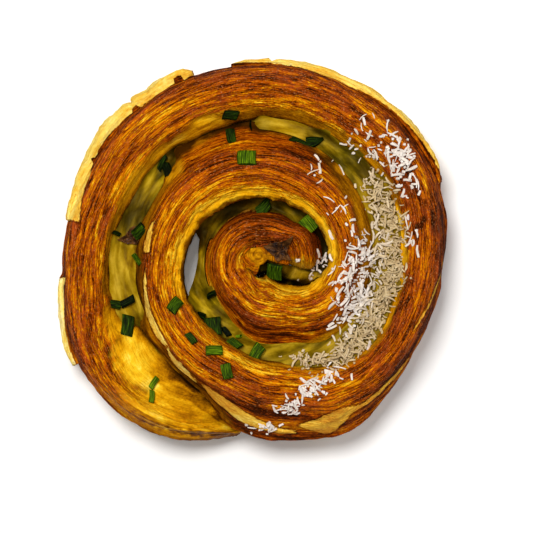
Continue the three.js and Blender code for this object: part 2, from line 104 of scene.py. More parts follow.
# thin sheets peeling off the dough: how far the outer edge stands up, how baked, then rows of
# angle and the distances to the sheet's inner edge and, where it has one, its outer edge
FLAPS = [
    (0.2, 0.54, [(741.5, 56.2), (750, 56.2), (760, 55.9), (770, 55.4), (775, 54.8), (782, 54),
                 (792, 53.7), (800, 54.3), (810, 54.3), (818.5, 54.5)]),
    (0.2, 0.46, [(829.5, 53.7), (833, 53.4), (833.3, 55.1), (835.6, 55.1), (836, 53.7), (840, 53.1),
                 (848.5, 53.1), (849.2, 54.6), (850.8, 54.3), (851.5, 53.3), (857, 53.7),
                 (862, 54.1), (867, 53.7), (869, 53.4), (870, 54.3), (871.2, 52.9), (877, 52),
                 (882, 51.7), (886, 51.1), (889.6, 50.9)]),
    (0.2, 0.34, [(906.5, 54.3), (908, 55.1), (910, 55.7), (915, 56.8), (920, 58.2), (925, 59.3),
                 (931.2, 60.4)]),
    (0.9, 0.68, [(643, 49, 49.2), (646, 48.8, 50.9), (650, 48.6, 53.4), (652, 48.5, 54.1),
                 (655, 48.4, 53.4), (659, 48.6, 52.1), (662, 49.9, 51.4), (666, 50.8, 51.7),
                 (672, 50.8, 51.9), (678, 51, 52), (686, 51.1, 51.3)]),
    (0.4, 0.7, [(694, 48.2, 48.4), (700, 48.6, 49.3), (705, 49.8, 50.4), (710, 50.4, 51),
                (715, 51.4, 52), (718, 52, 52.3)]),
    (0.7, 0.58, [(521, 29.9, 30), (524, 29.9, 31), (530, 29.9, 31.5), (537, 30.1, 32),
                 (539, 30.3, 31.9)]),
    (1.2, 0.5, [(547, 31.4, 31.7), (553, 31.9, 33.1), (560, 32.9, 34.1), (567, 33.7, 35.5),
                (572, 34, 35.9), (580, 34.9, 36.2), (585, 35.6, 36.3)]),
    (1.2, 0.44, [(585.4, 35.7, 36.3), (588, 36.4, 37.3), (595, 37.1, 39.1), (600, 38.2, 39.6),
                 (604.5, 39.2, 39.9)]),
    (1.2, 0.62, [(606, 39.1, 39.5), (610, 39.3, 41.5), (615, 40.4, 43.5), (620, 41.7, 45.7),
                 (623, 42.8, 47), (627, 44.8, 48), (632, 47, 49.2), (638, 49.2, 50.8),
                 (642, 50.4, 51.3)]),
    (0.6, 0.8, [(95, 12.7, 13.2), (105, 12.9, 14), (120, 12.9, 14.2), (130, 12.8, 13.9),
                (134, 12.8, 13)]),
]
NO_EDGE = 90.0
FLAP_LEAN = 0.3           # how far the ends of a sheet draw in for each millimetre down the wall
# where neighbouring turns lean together: angle of the inner one, distance to the seam, closeness
SEAM = np.array([
    [430, 37.8, 0], [449, 38.1, 0], [453, 38.1, 1], [462, 37.6, 1], [470, 37.3, 1], [480, 37.5, 1],
    [487, 38.5, 1], [492, 38.6, 0], [566, 39, 0], [572, 39.2, 1], [585, 39.2, 1], [592, 39.9, 1],
    [605, 41.6, 1], [610, 43, 1], [614, 45, 1], [618, 47.5, 1], [622, 49.4, 1], [626, 50.4, 0.6],
    [632, 51.5, 0],
])
SEAM_GAP = 0.15


def smooth(low, high, x):
    t = np.clip((np.asarray(x, float) - low) / (high - low), 0, 1)
    return t * t * (3 - 2 * t)


def bump(low, rise, fall, high, x):
    """1 between rise and fall, falling smoothly to 0 at low and high."""
    return smooth(low, rise, x) * (1 - smooth(fall, high, x))


def lerp(a, b, t):
    return a + (b - a) * t


def along(table, angle, column=1):
    """A column of a table at each angle: a smooth curve through its rows that never swings past them."""
    xs, ys = table[:, 0], table[:, column]
    slope = np.diff(ys) / np.diff(xs)
    before, after = np.r_[0, slope], np.r_[slope, 0]
    flat = before * after <= 0
    tangent = np.where(flat, 0, 2 * before * after / np.where(flat, 1, before + after))
    angle = np.clip(np.asarray(angle, float), xs[0], xs[-1])
    row = np.clip(np.searchsorted(xs, angle, side="right") - 1, 0, len(xs) - 2)
    span = xs[row + 1] - xs[row]
    t = (angle - xs[row]) / span
    rise = t * t * (3 - 2 * t)
    curve = (1 - t) * tangent[row] - t * tangent[row + 1]
    return ys[row] * (1 - rise) + ys[row + 1] * rise + span * t * (1 - t) * curve


def covers(table, angle):
    return (angle > table[0, 0]) & (angle < table[-1, 0])


# -------- noise

def hashed(ix, iy, seed):
    """A random value between -1 and 1 for each pair of whole numbers."""
    h = (ix * 374761393 + iy * 668265263 + seed * 3266489917) & 0xFFFFFFFF
    h = ((h ^ (h >> 13)) * 1274126177) & 0xFFFFFFFF
    h = ((h ^ (h >> 16)) * 2246822519) & 0xFFFFFFFF
    return ((h ^ (h >> 15)) & 0xFFFFFF) / 8388607.5 - 1


def noise(x, y, seed):
    """Smooth random field between -1 and 1 with one lump per unit."""
    x, y = np.broadcast_arrays(np.asarray(x, float), np.asarray(y, float))
    ix, iy = np.floor(x).astype(np.int64), np.floor(y).astype(np.int64)
    fx, fy = (f * f * f * (f * (f * 6 - 15) + 10) for f in (x - ix, y - iy))
    near = lerp(hashed(ix, iy, seed), hashed(ix + 1, iy, seed), fx)
    far = lerp(hashed(ix, iy + 1, seed), hashed(ix + 1, iy + 1, seed), fx)
    return lerp(near, far, fy)


def layered(x, y, seed, octaves=3):
    """Noise with finer and weaker noise on top."""
    total = sum(0.55 ** i * noise(x * 2 ** i, y * 2 ** i, seed + i) for i in range(octaves))
    return total / sum(0.55 ** i for i in range(octaves))


def strands(u, v, seed):
    """Long shingled strands, one per unit of v: height, each one's own tone, and how near its brink is."""
    number = np.floor(v)
    share = v - number
    brink = smooth(0.70, 0.97, share)
    size = 0.66 + 0.34 * noise(u / 8 + 31.7 * number, 3.3 * number, seed)
    tone = noise(u / 12 + 17.3 * number, 5.7 * number, seed + 1)
    tone = tone + 0.5 * noise(u / 4 + 7.3 * number, number, seed + 2)
    return 2 * size * share ** 0.6 * (1 - brink) - 0.6, tone, brink * size


# -------- meshes

def on_coil(angle, radius, height):
    turn = np.radians(angle)
    x, y = COIL_X + radius * np.cos(turn), COIL_Y + radius * np.sin(turn)
    return np.stack(np.broadcast_arrays(x, y, height), -1)


def way_along(points):
    """How far along a row of points each of them lies."""
    return np.r_[0, np.cumsum(np.linalg.norm(np.diff(points, axis=0), axis=1))]


def grid_faces(rows, columns):
    """Faces of a tube of rows, each row a closed ring of so many columns."""
    start = np.arange(rows - 1)[:, None] * columns
    a, b = start + np.arange(columns), start + (np.arange(columns) + 1) % columns
    return np.stack([a, b, b + columns, a + columns], -1).reshape(-1, 4).tolist()


def tube_normals(points):
    along_rows = np.gradient(points, axis=0)
    round_ring = np.roll(points, -1, axis=1) - np.roll(points, 1, axis=1)
    normal = np.cross(round_ring, along_rows)
    return normal / np.maximum(np.linalg.norm(normal, axis=-1, keepdims=True), 1e-9)


def closed_tube(points, attributes):
    """Points, faces and attributes of a tube of rings, shut at both ends by fans."""
    rows, columns = points.shape[:2]
    count = rows * columns
    faces = grid_faces(rows, columns)
    for ring, middle, step in ((0, count, -1), (rows - 1, count + 1, 1)):
        for j in range(columns):
            edge = [ring * columns + j, ring * columns + (j + 1) % columns]
            faces.append([middle] + edge[::step])
    packed = {}
    for key, values in attributes.items():
        values = np.broadcast_to(values, points.shape[:2] + values.shape[2:])
        values = values.reshape((count,) + values.shape[2:])
        packed[key] = np.concatenate([values, values[[0, count - 1]]])
    return np.vstack([points.reshape(-1, 3), points[0].mean(0), points[-1].mean(0)]), faces, packed


def joined(parts):
    """Several (points, faces, attributes) as one."""
    points, faces, attributes, start = [], [], {}, 0
    for part_points, part_faces, part_attributes in parts:
        points.append(part_points)
        faces += [[i + start for i in face] for face in part_faces]
        for key, values in part_attributes.items():
            attributes.setdefault(key, []).append(values)
        start += len(part_points)
    return np.vstack(points), faces, {key: np.concatenate(v) for key, v in attributes.items()}


def mesh_object(name, points, faces, material):
    mesh = bpy.data.meshes.new(name)
    mesh.from_pydata(points, [], faces)
    mesh.materials.append(material)
    made = bpy.data.objects.new(name, mesh)
    bpy.context.scene.collection.objects.link(made)
    return made


def mesh_piece(name, part, material, flat=False):
    points, faces, attributes = part
    piece = mesh_object(name, (points * MM).tolist(), faces, material)
    if flat:
        piece.data.shade_flat()
    else:
        piece.data.shade_smooth()
    for key, values in attributes.items():
        values = np.asarray(values, np.float32)
        vector = values.ndim == 2
        layer = piece.data.attributes.new(key, "FLOAT_VECTOR" if vector else "FLOAT", "POINT")
        layer.data.foreach_set("vector" if vector else "value", values.ravel())
    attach(piece, "root")
    return piece


def curve_through(controls, samples):
    """Each row's smooth curve through its control points, and the number of the control reached."""
    previous = np.concatenate([controls[:, :1], controls[:, :-1]], 1)
    following = np.concatenate([controls[:, 1:], controls[:, -1:]], 1)
    tangent = (following - previous) / 2
    pieces, numbers = [], []
    for i, count in enumerate(samples):
        t = (np.arange(count) / count)[None, :, None]
        a, b = controls[:, i:i + 1], controls[:, i + 1:i + 2]
        ta, tb = tangent[:, i:i + 1], tangent[:, i + 1:i + 2]
        pieces.append((2 * t**3 - 3 * t**2 + 1) * a + (t**3 - 2 * t**2 + t) * ta
                      + (3 * t**2 - 2 * t**3) * b + (t**3 - t**2) * tb)
        numbers.append(i + t[0, :, 0])
    pieces.append(controls[:, -1:])
    return np.concatenate(pieces, 1), np.r_[np.concatenate(numbers), len(samples)]


# -------- materials

def linear(red, green, blue):
    """Colour from its usual 0-255 values."""
    def channel(value):
        value /= 255
        return value / 12.92 if value <= 0.04045 else ((value + 0.055) / 1.055) ** 2.4
    return channel(red), channel(green), channel(blue), 1.0


class Nodes:
    """A material's nodes, made by short calls that return sockets."""

    def __init__(self, name):
        self.material = bpy.data.materials.new(name)
        self.material.use_nodes = True
        self.tree = self.material.node_tree

    def feed(self, socket, value):
        if isinstance(value, bpy.types.NodeSocket):
            self.tree.links.new(value, socket)
        else:
            socket.default_value = value

    def make(self, kind, inputs=(), output=0, **settings):
        node = self.tree.nodes.new("ShaderNode" + kind)
        for key, value in settings.items():
            setattr(node, key, value)
        for key, value in dict(inputs).items():
            self.feed(node.inputs[key], value)
        return node.outputs[output]

    def finish(self, **inputs):
        """The material, with these inputs of its shader set."""
        for key, value in inputs.items():
            self.feed(self.tree.nodes["Principled BSDF"].inputs[key.replace("_", " ")], value)
        return self.material

    def attribute(self, name, output="Fac"):
        return self.make("Attribute", output=output, attribute_name=name)

    def place(self):
        return self.make("TexCoord", output="Object")

    def math(self, operation, a, b=0.0, c=0.0, clamp=False):
        return self.make("Math", {0: a, 1: b, 2: c}, operation=operation, use_clamp=clamp)

    def plus(self, first, *others):
        for other in others:
            first = self.math("ADD", first, other)
        return first

    def times(self, a, b):
        return self.math("MULTIPLY", a, b)

    def fitted(self, a, gain, offset, clamp=False):
        return self.math("MULTIPLY_ADD", a, gain, offset, clamp)

    def above(self, a, start, gain):
        """0 up to the start, then rising by the gain to 1."""
        return self.math("MULTIPLY", self.math("SUBTRACT", a, start), gain, clamp=True)

    def off(self, a, middle):
        return self.math("ABSOLUTE", self.math("SUBTRACT", a, middle))

    def rest(self, a):
        return self.math("SUBTRACT", 1.0, a, clamp=True)

    def noise(self, vector, scale, detail=2.0, roughness=0.5, distortion=0.0):
        return self.make("TexNoise", {"Vector": vector, "Scale": scale, "Detail": detail,
                                      "Roughness": roughness, "Distortion": distortion})

    def grain(self, vector, lengthwise, crosswise, *character):
        """Noise with its own scale along and across a direction."""
        vector = self.make("VectorMath", {0: vector, 1: (lengthwise, crosswise, 1)}, operation="MULTIPLY")
        return self.noise(vector, 1.0, *character)

    def ramp(self, factor, stops):
        node = self.tree.nodes.new("ShaderNodeValToRGB")
        elements = node.color_ramp.elements
        while len(elements) < len(stops):
            elements.new(0.5)
        for element, (position, colour) in zip(elements, stops):
            element.position = position
            element.color = linear(*colour)
        self.feed(node.inputs[0], factor)
        return node.outputs[0]

    def mix(self, factor, a, b):
        return self.make("Mix", {0: factor, 6: a, 7: b}, output=2, data_type="RGBA")

    def bump(self, height, strength, distance):
        return self.make("Bump", {"Height": height, "Strength": strength, "Distance": distance})


CRUST_STOPS = [(0.0, (248, 198, 44)), (0.16, (232, 158, 8)), (0.32, (212, 124, 1)),
               (0.46, (192, 98, 1)), (0.60, (168, 76, 1)), (0.74, (138, 55, 1)),
               (0.88, (100, 36, 1)), (1.0, (58, 19, 1))]
FLANK_STOPS = [(0.0, (252, 222, 90)), (0.2, (242, 192, 34)), (0.42, (218, 154, 8)),
               (0.62, (178, 116, 3)), (0.82, (120, 70, 1)), (1.0, (62, 32, 1))]
PALE_STOPS = [(0.0, (255, 238, 170)), (0.3, (248, 216, 104)), (0.55, (234, 180, 56)),
              (0.75, (212, 140, 40)), (0.9, (168, 96, 14)), (1.0, (112, 58, 6))]
# colours of a painted rosy sheen and of painted glints on the glaze
ROSY_SHEEN, GLINT = linear(178, 76, 26), linear(234, 160, 98)
FLAP_EDGE_SHADOW, PAINTED_SHADE = linear(58, 22, 1), linear(28, 10, 1)


def crust_material():
    """Baked dough: strands of brown, orange and gold under a glaze, smooth yellow flanks, pale edges, with a
    painted sheen, painted glints and painted shade in the colour.
    """
    n = Nodes("crust")
    coil = n.attribute("coil", "Vector")
    fibre = n.grain(coil, 0.13, 1.7, 3.0, 0.68, 0.5)
    scale = n.grain(coil, 0.42, 0.85, 3.5, 0.68, 0.5)
    band = n.grain(coil, 0.04, 0.42, 2.0, 0.5, 0.6)
    blotch = n.grain(coil, 0.16, 0.3, 3.0, 0.55)
    pore = n.grain(coil, 1.3, 1.6, 3.0, 0.6)
    speck = n.grain(coil, 1.3, 3.0, 2.0, 0.6)
    fleck = n.above(speck, 0.56, 8.0)
    char = n.math("MULTIPLY", n.math("SUBTRACT", 0.43, speck), 8.0, clamp=True)
    crack = n.rest(n.times(n.off(n.grain(coil, 0.07, 1.05, 3.0, 0.55, 0.4), 0.5), 24.0))
    ply = n.make("Mix", {0: n.attribute("scaly"), 2: fibre, 3: scale})

    grain = n.plus(n.fitted(ply, 1.1, -0.55), n.fitted(band, 0.8, -0.43), n.times(crack, 0.34))
    grain = n.math("SUBTRACT", grain, n.times(fleck, 0.28))
    grain = n.plus(grain, n.times(char, 0.26))
    soft = n.plus(n.fitted(blotch, 0.6, -0.3), n.plus(n.times(grain, 0.12), n.fitted(pore, 0.42, -0.21)))
    brown = n.plus(n.attribute("bake"), grain)
    across = n.math("ABSOLUTE", n.make("SeparateXYZ", {0: coil}, output=1))
    on_top = n.math("SUBTRACT", 1.0, n.fitted(across, 0.4, -2.4, clamp=True))
    crust = n.ramp(brown, CRUST_STOPS)
    # painted sheen: a rosy reflection of the glaze mixed into the colour on blotches of the ridge tops
    painted_sheen = n.times(n.times(n.above(blotch, 0.48, 5.0), n.above(brown, 0.30, 2.5)), on_top)
    crust = n.mix(n.times(painted_sheen, 0.65), crust, ROSY_SHEEN)
    glint = n.above(n.grain(coil, 1.7, 2.6, 2.0, 0.7), 0.585, 14.0)
    glint = n.times(n.times(glint, n.above(brown, 0.40, 3.0)), on_top)
    crust = n.mix(n.times(glint, 0.45), crust, GLINT)

    flank = n.ramp(n.plus(n.attribute("flank_bake"), soft), FLANK_STOPS)
    crease = n.off(n.grain(coil, 0.34, 0.5, 2.0, 0.6, 1.6), 0.5)
    pale = n.ramp(n.plus(n.attribute("pale_bake"), n.fitted(crease, -0.6, 0.01), soft), PALE_STOPS)
    colour = n.mix(n.attribute("flank"), crust, flank)
    jag = n.grain(coil, 0.8, 1.4, 3.0, 0.6)
    inside = n.plus(n.attribute("flap"), n.fitted(jag, 0.9, -0.45))
    # a painted shadow: a thin dark line just outside the edge of each flap
    line = n.rest(n.times(n.math("ABSOLUTE", n.plus(inside, 0.22)), 4.0))
    colour = n.mix(n.times(line, 0.7), colour, FLAP_EDGE_SHADOW)
    on_flap = n.math("MULTIPLY", inside, 7.0, clamp=True)
    colour = n.mix(on_flap, colour, pale)
    # painted shade under the strands' brinks, in the seams and on the core's sides, mixed into the colour as
    # a near-black brown
    colour = n.mix(n.attribute("shade"), colour, PAINTED_SHADE)

    relief = n.math("SUBTRACT", n.plus(ply, n.times(speck, 0.6)), n.times(crack, 0.5))
    relief = n.times(relief, n.fitted(n.attribute("flank"), -0.8, 1.0))
    relief = n.times(relief, n.fitted(on_flap, -0.75, 1.0))
    crumpled = n.plus(n.times(pore, 0.2), crease)
    relief = n.plus(relief, n.times(crumpled, on_flap))
    on_side = n.fitted(across, 0.45, -1.9, clamp=True)
    roughness = n.plus(n.fitted(fibre, 0.3, 0.22), n.times(on_side, 0.5))
    return n.finish(Base_Color=colour, Roughness=roughness, Normal=n.bump(relief, 1.0, 0.0009),
                    Specular_IOR_Level=0.08, Specular_Tint=(1.0, 0.50, 0.16, 1.0))


def filling_material():
    """Melted cheese and egg, olive where it is thin or deep, with greener and creamier places, and painted
    shade where it lies deep in the groove and the hole.
    """
    n = Nodes("filling")
    coil = n.attribute("coil", "Vector")
    fine = n.grain(coil, 1.1, 1.6, 2.0, 0.5)
    tone = n.plus(n.grain(coil, 0.13, 0.5, 2.0, 0.5, 0.3), n.fitted(fine, 0.16, -0.08))
    olive = n.ramp(tone, [(0.3, (30, 18, 1)), (0.45, (66, 44, 1)), (0.56, (98, 66, 1)),
                          (0.72, (150, 108, 6))])
    green = n.ramp(tone, [(0.3, (50, 42, 1)), (0.45, (92, 78, 1)), (0.56, (124, 104, 2)),
                          (0.72, (180, 152, 16))])
    cream = n.ramp(tone, [(0.3, (120, 84, 2)), (0.5, (168, 132, 10)), (0.72, (208, 172, 48))])
    colour = n.mix(n.attribute("cream"), n.mix(n.attribute("green"), olive, green), cream)
    # painted shade mixed into the colour where the filling lies deep
    colour = n.mix(n.attribute("shade"), colour, linear(16, 10, 1))
    return n.finish(Base_Color=colour, Roughness=n.fitted(fine, 0.3, 0.34), Normal=n.bump(tone, 0.35, 0.0010),
                    Specular_IOR_Level=0.14, Specular_Tint=(1.0, 0.78, 0.2, 1.0),
                    Subsurface_Weight=0.08, Subsurface_Scale=0.0015, Subsurface_Radius=(1.0, 0.7, 0.2))


def cheese_material():
    """Grated hard cheese: white, creamier and darker where it lies on the filling in the groove, partly its
    own creamier colour and partly painted shade.
    """
    n = Nodes("grated cheese")
    mottle = n.noise(n.place(), 900.0, 3.0, 0.6)
    white = n.ramp(mottle, [(0.3, (204, 190, 178)), (0.7, (234, 226, 217))])
    cream = n.ramp(mottle, [(0.3, (170, 142, 96)), (0.7, (212, 190, 146))])
    return n.finish(Base_Color=n.mix(n.attribute("cream"), white, cream), Roughness=0.55,
                    Specular_IOR_Level=0.3, Normal=n.bump(mottle, 0.5, 0.0002),
                    Subsurface_Weight=0.15, Subsurface_Scale=0.0008, Subsurface_Radius=(1.0, 0.9, 0.7))


def chive_material():
    """Chopped chives: green with fine lines along each piece, some of them dark."""
    n = Nodes("chives")
    lines = n.grain(n.attribute("leaf", "Vector"), 0.35, 5.5, 2.0, 0.6)
    value = n.plus(n.attribute("tone"), n.fitted(lines, 2.0, -1.1))
    colour = n.ramp(value, [(0.0, (4, 8, 1)), (0.3, (20, 36, 1)), (0.6, (50, 78, 2)),
                            (1.0, (116, 146, 10))])
    return n.finish(Base_Color=colour, Roughness=0.5, Specular_IOR_Level=0.05,
                    Normal=n.bump(lines, 0.8, 0.0004))


def mushroom_material():
    """Scraps of browned mushroom, nearly black at their edges."""
    n = Nodes("mushroom")
    streak = n.noise(n.place(), 700.0, 4.0, 0.65, 0.5)
    dark = n.plus(n.attribute("tone"), n.fitted(streak, 0.7, -0.35))
    colour = n.ramp(dark, [(0.1, (100, 62, 26)), (0.35, (62, 36, 15)), (0.6, (32, 17, 11)),
                           (0.9, (10, 5, 4))])
    return n.finish(Base_Color=colour, Roughness=0.30, Specular_IOR_Level=0.12,
                    Specular_Tint=(1.0, 0.8, 0.75, 1.0), Normal=n.bump(streak, 1.0, 0.0006))


# -------- the dough

STEP_ALONG = 0.84
SMALLEST_RADIUS = 7.0     # the steps grow no wider in degrees further in
NEAR_ROW = 0.48           # an even row gives way to an extra one within this share of a step
RIDGE_POINTS = 7          # control points across the ridge, between its two shoulders
# control points of a section, in order
FOOT_IN, WALL_IN, SIDE_IN, SHOULDER_IN = 1, 2, 3, 4
SHOULDER_OUT = SHOULDER_IN + RIDGE_POINTS + 1
SIDE_OUT, DITCH, EDGE, WALL_OUT, COLLAR_TOP, FOOT_OUT = range(SHOULDER_OUT + 1, SHOULDER_OUT + 7)
RIDGE_MIDDLE = (SHOULDER_IN + SHOULDER_OUT) / 2
SAMPLES = [2, 6, 14, 12] + [8] * (RIDGE_POINTS + 1) + [10, 8, 7, 6, 6, 12, 2]
# stretches of the coil by angle: low, rise, fall and high for bump, low and high for smooth
GROOVE_RIM = (240, 265, 592, 610)         # where the ridge leans over the groove,
RAGGED_RIM = (262, 285, 588, 604)         # its edge is torn,
YELLOW_RIM = (262, 320, 540, 590)         # the edge shows yellow,
STRANDED_RIMS = [(235, 262, 318, 338), (555, 580, 650, 680)]      # or strands run over it
FLANK_SHOWS = (215, 250)
GOLDEN_EDGE, LESS_GOLDEN = (60, 260), (540, 580, 660, 720)
DARK_OUTSIDE, LESS_DARK = (200, 260, 900, 930), (540, 570, 650, 680)
PLUM_BAND = (395, 425, 475, 510)
TONGUE_TIP, TONGUE_EDGE = (-10, 3), (-13, -7)
TAIL, TAIL_FOLD = (935, 962), (943, 955, 990, 999)


def coil_angles(start, end, step, extra=()):
    """Even steps along the coil, with rows at the extra angles in place of the nearest ones."""
    angles, steps, angle = [start], [0.0], start
    while angle < end:
        radius = (along(STRIP, angle, INNER) + along(STRIP, angle, OUTER)) / 2
        steps.append(math.degrees(step / max(radius, SMALLEST_RADIUS)))
        angle += steps[-1]
        angles.append(min(angle, end))
    angles, extra = np.array(angles), np.array(sorted(extra))
    if len(extra):
        spare = np.abs(angles[:, None] - extra).min(1) < NEAR_ROW * np.array(steps)
        angles = angles[~spare]
    return np.unique(np.round(np.r_[angles, extra], 3))


def collar_at(angle):
    """How far the pale sheets reach, and the height of their upper edge."""
    top = np.full_like(angle, WALL_LEVEL)
    for start, end, height in COLLAR_LEVELS:
        top = np.where((angle >= start) & (angle <= end), height, top)
    return np.interp(angle, COLLAR_REACH[:, 0], COLLAR_REACH[:, 1]), top


def seam_at(angle):
    """How closely a turn leans on the next one, and the distance to their seam."""
    return np.where(covers(SEAM, angle), along(SEAM, angle, 2), 0), along(SEAM, angle)


def sides_at(angle):
    """Distances to a turn's inner and outer side, where it leans on its neighbours too."""
    inner, outer = along(STRIP, angle, INNER), along(STRIP, angle, OUTER)
    closeness, seam = seam_at(angle)
    outer = lerp(outer, seam - SEAM_GAP, closeness)
    closeness, seam = seam_at(angle - 360)
    return lerp(inner, seam + SEAM_GAP, closeness), outer


def flap_field(angle, radius, height):
    """For each point, how far inside a flap it lies, how far the flap lifts it and how baked it is."""
    torn = FLAP_LEAN * np.clip(WALL_LEVEL - height, 0, None)
    torn = torn * (0.8 + 0.6 * noise(height / 3.5, angle / 30, 49))
    inside = np.full(radius.shape, -9.0)
    lift, bake = np.zeros(radius.shape), np.full(radius.shape, 0.5)
    for rise, tone, rows in FLAPS:
        rows = np.array(rows)
        first, last = rows[0, 0], rows[-1, 0]
        near = np.interp(angle, rows[:, 0], rows[:, 1])
        far = np.interp(angle, rows[:, 0], rows[:, 2]) if rows.shape[1] > 2 else NO_EDGE
        ends = np.radians(np.minimum(angle - first, last - angle)) * radius - torn
        depth = np.minimum(np.minimum(radius - near, far - radius), ends)
        here = depth > inside
        inside = np.where(here, depth, inside)
        share = np.clip((radius - near) / np.minimum(far - near, 2.0), 0, 1)
        lift = np.maximum(lift, rise * share ** 0.7 * smooth(-0.1, 0.15, depth))
        bake = np.where(here & (depth > -1.5), tone, bake)
    return inside, lift, bake


def dough_sections(angle):
    """Control points of the section at each angle: distance from the middle, and height."""
    ridge_in, ridge_out = along(STRIP, angle, RIDGE_IN), along(STRIP, angle, RIDGE_OUT)
    inner, outer = sides_at(angle)
    crown = along(CROWN, angle) + CROWN_WAVE * np.sin(np.radians(angle) * 3.1)
    shoulder = crown - RIDGE_ROUNDING
    inner_level = np.minimum(along(FILLING_LEVEL, angle - 360) - FLANK_BELOW_FILLING, shoulder - 2)
    outside = smooth(OUTSIDE_FROM, OUTSIDE_FULLY, angle)
    reach, top = collar_at(angle)
    foot_reach = sum(collar_at(angle + turn)[0] for turn in COLLAR_TAPER) / len(COLLAR_TAPER)
    foot_reach = np.minimum(reach, foot_reach) * (1 + 0.08 * noise(angle / 2.3, 2.5, 63))
    reach = reach * (1 + 0.08 * noise(angle / 1.4, 0.5, 61) + 0.06 * noise(angle / 0.7, 1.5, 62))
    outer = outer + outside * OUTSIDE_SWELL
    rim = bump(*GROOVE_RIM, angle)
    groove_level = along(FILLING_LEVEL, angle) - FLANK_BELOW_FILLING
    outer_level = np.minimum(lerp(groove_level, top + 1.5, outside), shoulder - 2.5)

    points = [(inner + 0.7, 0), (inner, 1.5), (inner, inner_level),
              (lerp(ridge_in, inner, lerp(0.55, 0.85, rim)),
               lerp(shoulder, inner_level, lerp(0.4, 0.13, rim)))]
    points += [(lerp(ridge_in, ridge_out, t), crown - RIDGE_ROUNDING * (2 * t - 1) ** 2)
               for t in np.arange(RIDGE_POINTS + 2) / (RIDGE_POINTS + 1)]
    points += [(lerp(ridge_out, outer, out), lerp(shoulder, outer_level, down))
               for out, down in ((0.4, 0.38), (0.68, 0.68), (0.88, 0.9))]
    points += [(outer, outer_level), (outer + outside * reach * 0.85, np.minimum(top, outer_level - 1)),
               (outer + outside * foot_reach, COLLAR_FOOT), (outer - 0.35 - outside * UNDERCUT, 0)]
    sections = np.stack([np.stack(np.broadcast_arrays(r, z, angle)[:2], -1) for r, z in points], 1)

    from_end = np.minimum(angle - COIL_START, COIL_END - angle) / END_LENGTH
    fullness = np.sqrt(1 - (1 - np.clip(from_end, 0, 1)) ** 2)
    middle = (sections[:, :1, 0] + sections[:, -1:, 0]) / 2
    sections[..., 0] = middle + (sections[..., 0] - middle) * lerp(END_WIDTH, 1, fullness)[:, None]
    sections[..., 1] *= lerp(END_HEIGHT, 1, fullness)[:, None]
    return sections


# how brown the ridge is along the coil, from 0 for gold to 1 for black
BAKE = np.array([
    [-18, 0.46], [12, 0.5], [60, 0.68], [130, 0.6], [180, 0.37], [240, 0.4], [300, 0.42],
    [345, 0.5], [380, 0.52], [420, 0.44], [450, 0.35], [480, 0.4], [560, 0.46], [600, 0.5],
    [640, 0.52], [690, 0.6], [720, 0.68], [742, 0.62], [765, 0.48], [785, 0.5], [805, 0.62],
    [850, 0.5], [880, 0.47], [900, 0.49], [930, 0.58], [950, 0.5], [984, 0.4],
])
# how brown the inner flank is
INNER_BAKE = np.array([
    [-18, 0.1], [10, 0.45], [90, 0.7], [200, 0.6], [262, 0.74], [300, 0.72], [325, 0.56],
    [345, 0.4], [380, 0.34], [400, 0.38], [430, 0.38], [440, 0.32], [520, 0.34], [560, 0.5],
    [600, 0.66], [660, 0.62], [720, 0.42], [780, 0.76], [812, 0.66], [830, 0.5], [845, 0.4],
    [865, 0.42], [885, 0.66], [915, 0.64], [928, 0.42], [940, 0.32], [965, 0.3], [984, 0.34],
])
# how brown the outer flank is, in the groove, where its darker stretches are partly browning and partly
# painted shade
OUTER_BAKE = np.array([
    [-18, 0.5], [30, 0.75], [60, 0.9], [150, 0.85], [240, 0.52], [290, 0.54], [340, 0.72],
    [400, 0.72], [430, 0.84], [450, 0.92], [480, 0.84], [520, 0.76], [560, 0.8], [620, 0.8],
    [660, 0.66], [984, 0.6],
])
# how far past the ridge its strands run down the outer side, in control points
STRANDS_DOWN = np.array([
    [-18, 4.6], [190, 4.6], [280, 4.2], [305, 1.6], [340, 0.4], [405, 0.2], [435, 2.2], [465, 2.2],
    [495, 0.8], [520, 0.3], [600, 0.9], [630, 4], [645, 6], [984, 6],
])
# how scaly the ridge is, rather than stranded
SCALY = np.array([
    [-18, 0.1], [190, 0.1], [235, 0.9], [320, 0.9], [350, 0.3], [600, 0.3], [640, 0.6], [690, 0.5],
    [740, 0.8], [810, 0.6], [850, 0.2], [905, 0.3], [925, 0.9], [984, 1],
])
# lighter and darker places on the flanks: x, y, size, change
FLANK_PATCHES = [
    (-20.3, 32, 4.2, -0.2), (-14.7, 30, 3.4, -0.36), (-11.5, 31.5, 3, -0.2), (-19.7, 23.5, 3, -0.4),
    (-23, 21, 2.4, -0.25), (-3, 33, 4, -0.12), (10.5, 27.5, 4, -0.1), (26, 25, 3.5, -0.35),
    (20.5, 29, 3, -0.2), (41.5, 8.5, 3.6, -0.45), (38, -6, 4, -0.3), (-27, -24, 3.6, -0.22),
    (-33, -30, 4, -0.12), (-24, -37, 5, -0.12), (33, -22, 4, -0.2), (-30, -35, 2.5, -0.15),
]
# small burnt spots and blisters on the crust: x, y, size, change
SPOTS = [
    (-2.8, -6, 0.9, 0.5), (-3.6, -5.4, 0.5, 0.4), (46.5, 6.8, 1.2, 0.45), (47.6, 8.6, 0.9, 0.4),
    (45, 4.5, 0.8, 0.3), (-3.4, -20.4, 0.8, 0.4), (-1.6, -21, 0.6, 0.4), (-2.6, -19, 0.5, 0.3),
    (43.8, 0.8, 0.9, 0.35), (-23.4, 46.6, 0.8, 0.4), (27, 44.8, 0.5, 0.3), (-7, -26, 0.6, 0.3),
    (12.5, 20, 0.9, 0.3),
]


def spotted(values, points, spots, wobble, low, high):
    """The values, changed in soft spots with uneven outlines."""
    for x, y, size, amount in spots:
        away = np.hypot(points[..., 0] - x, points[..., 1] - y) / size + wobble
        values = values + amount * (1 - smooth(low, high, away))
    return values


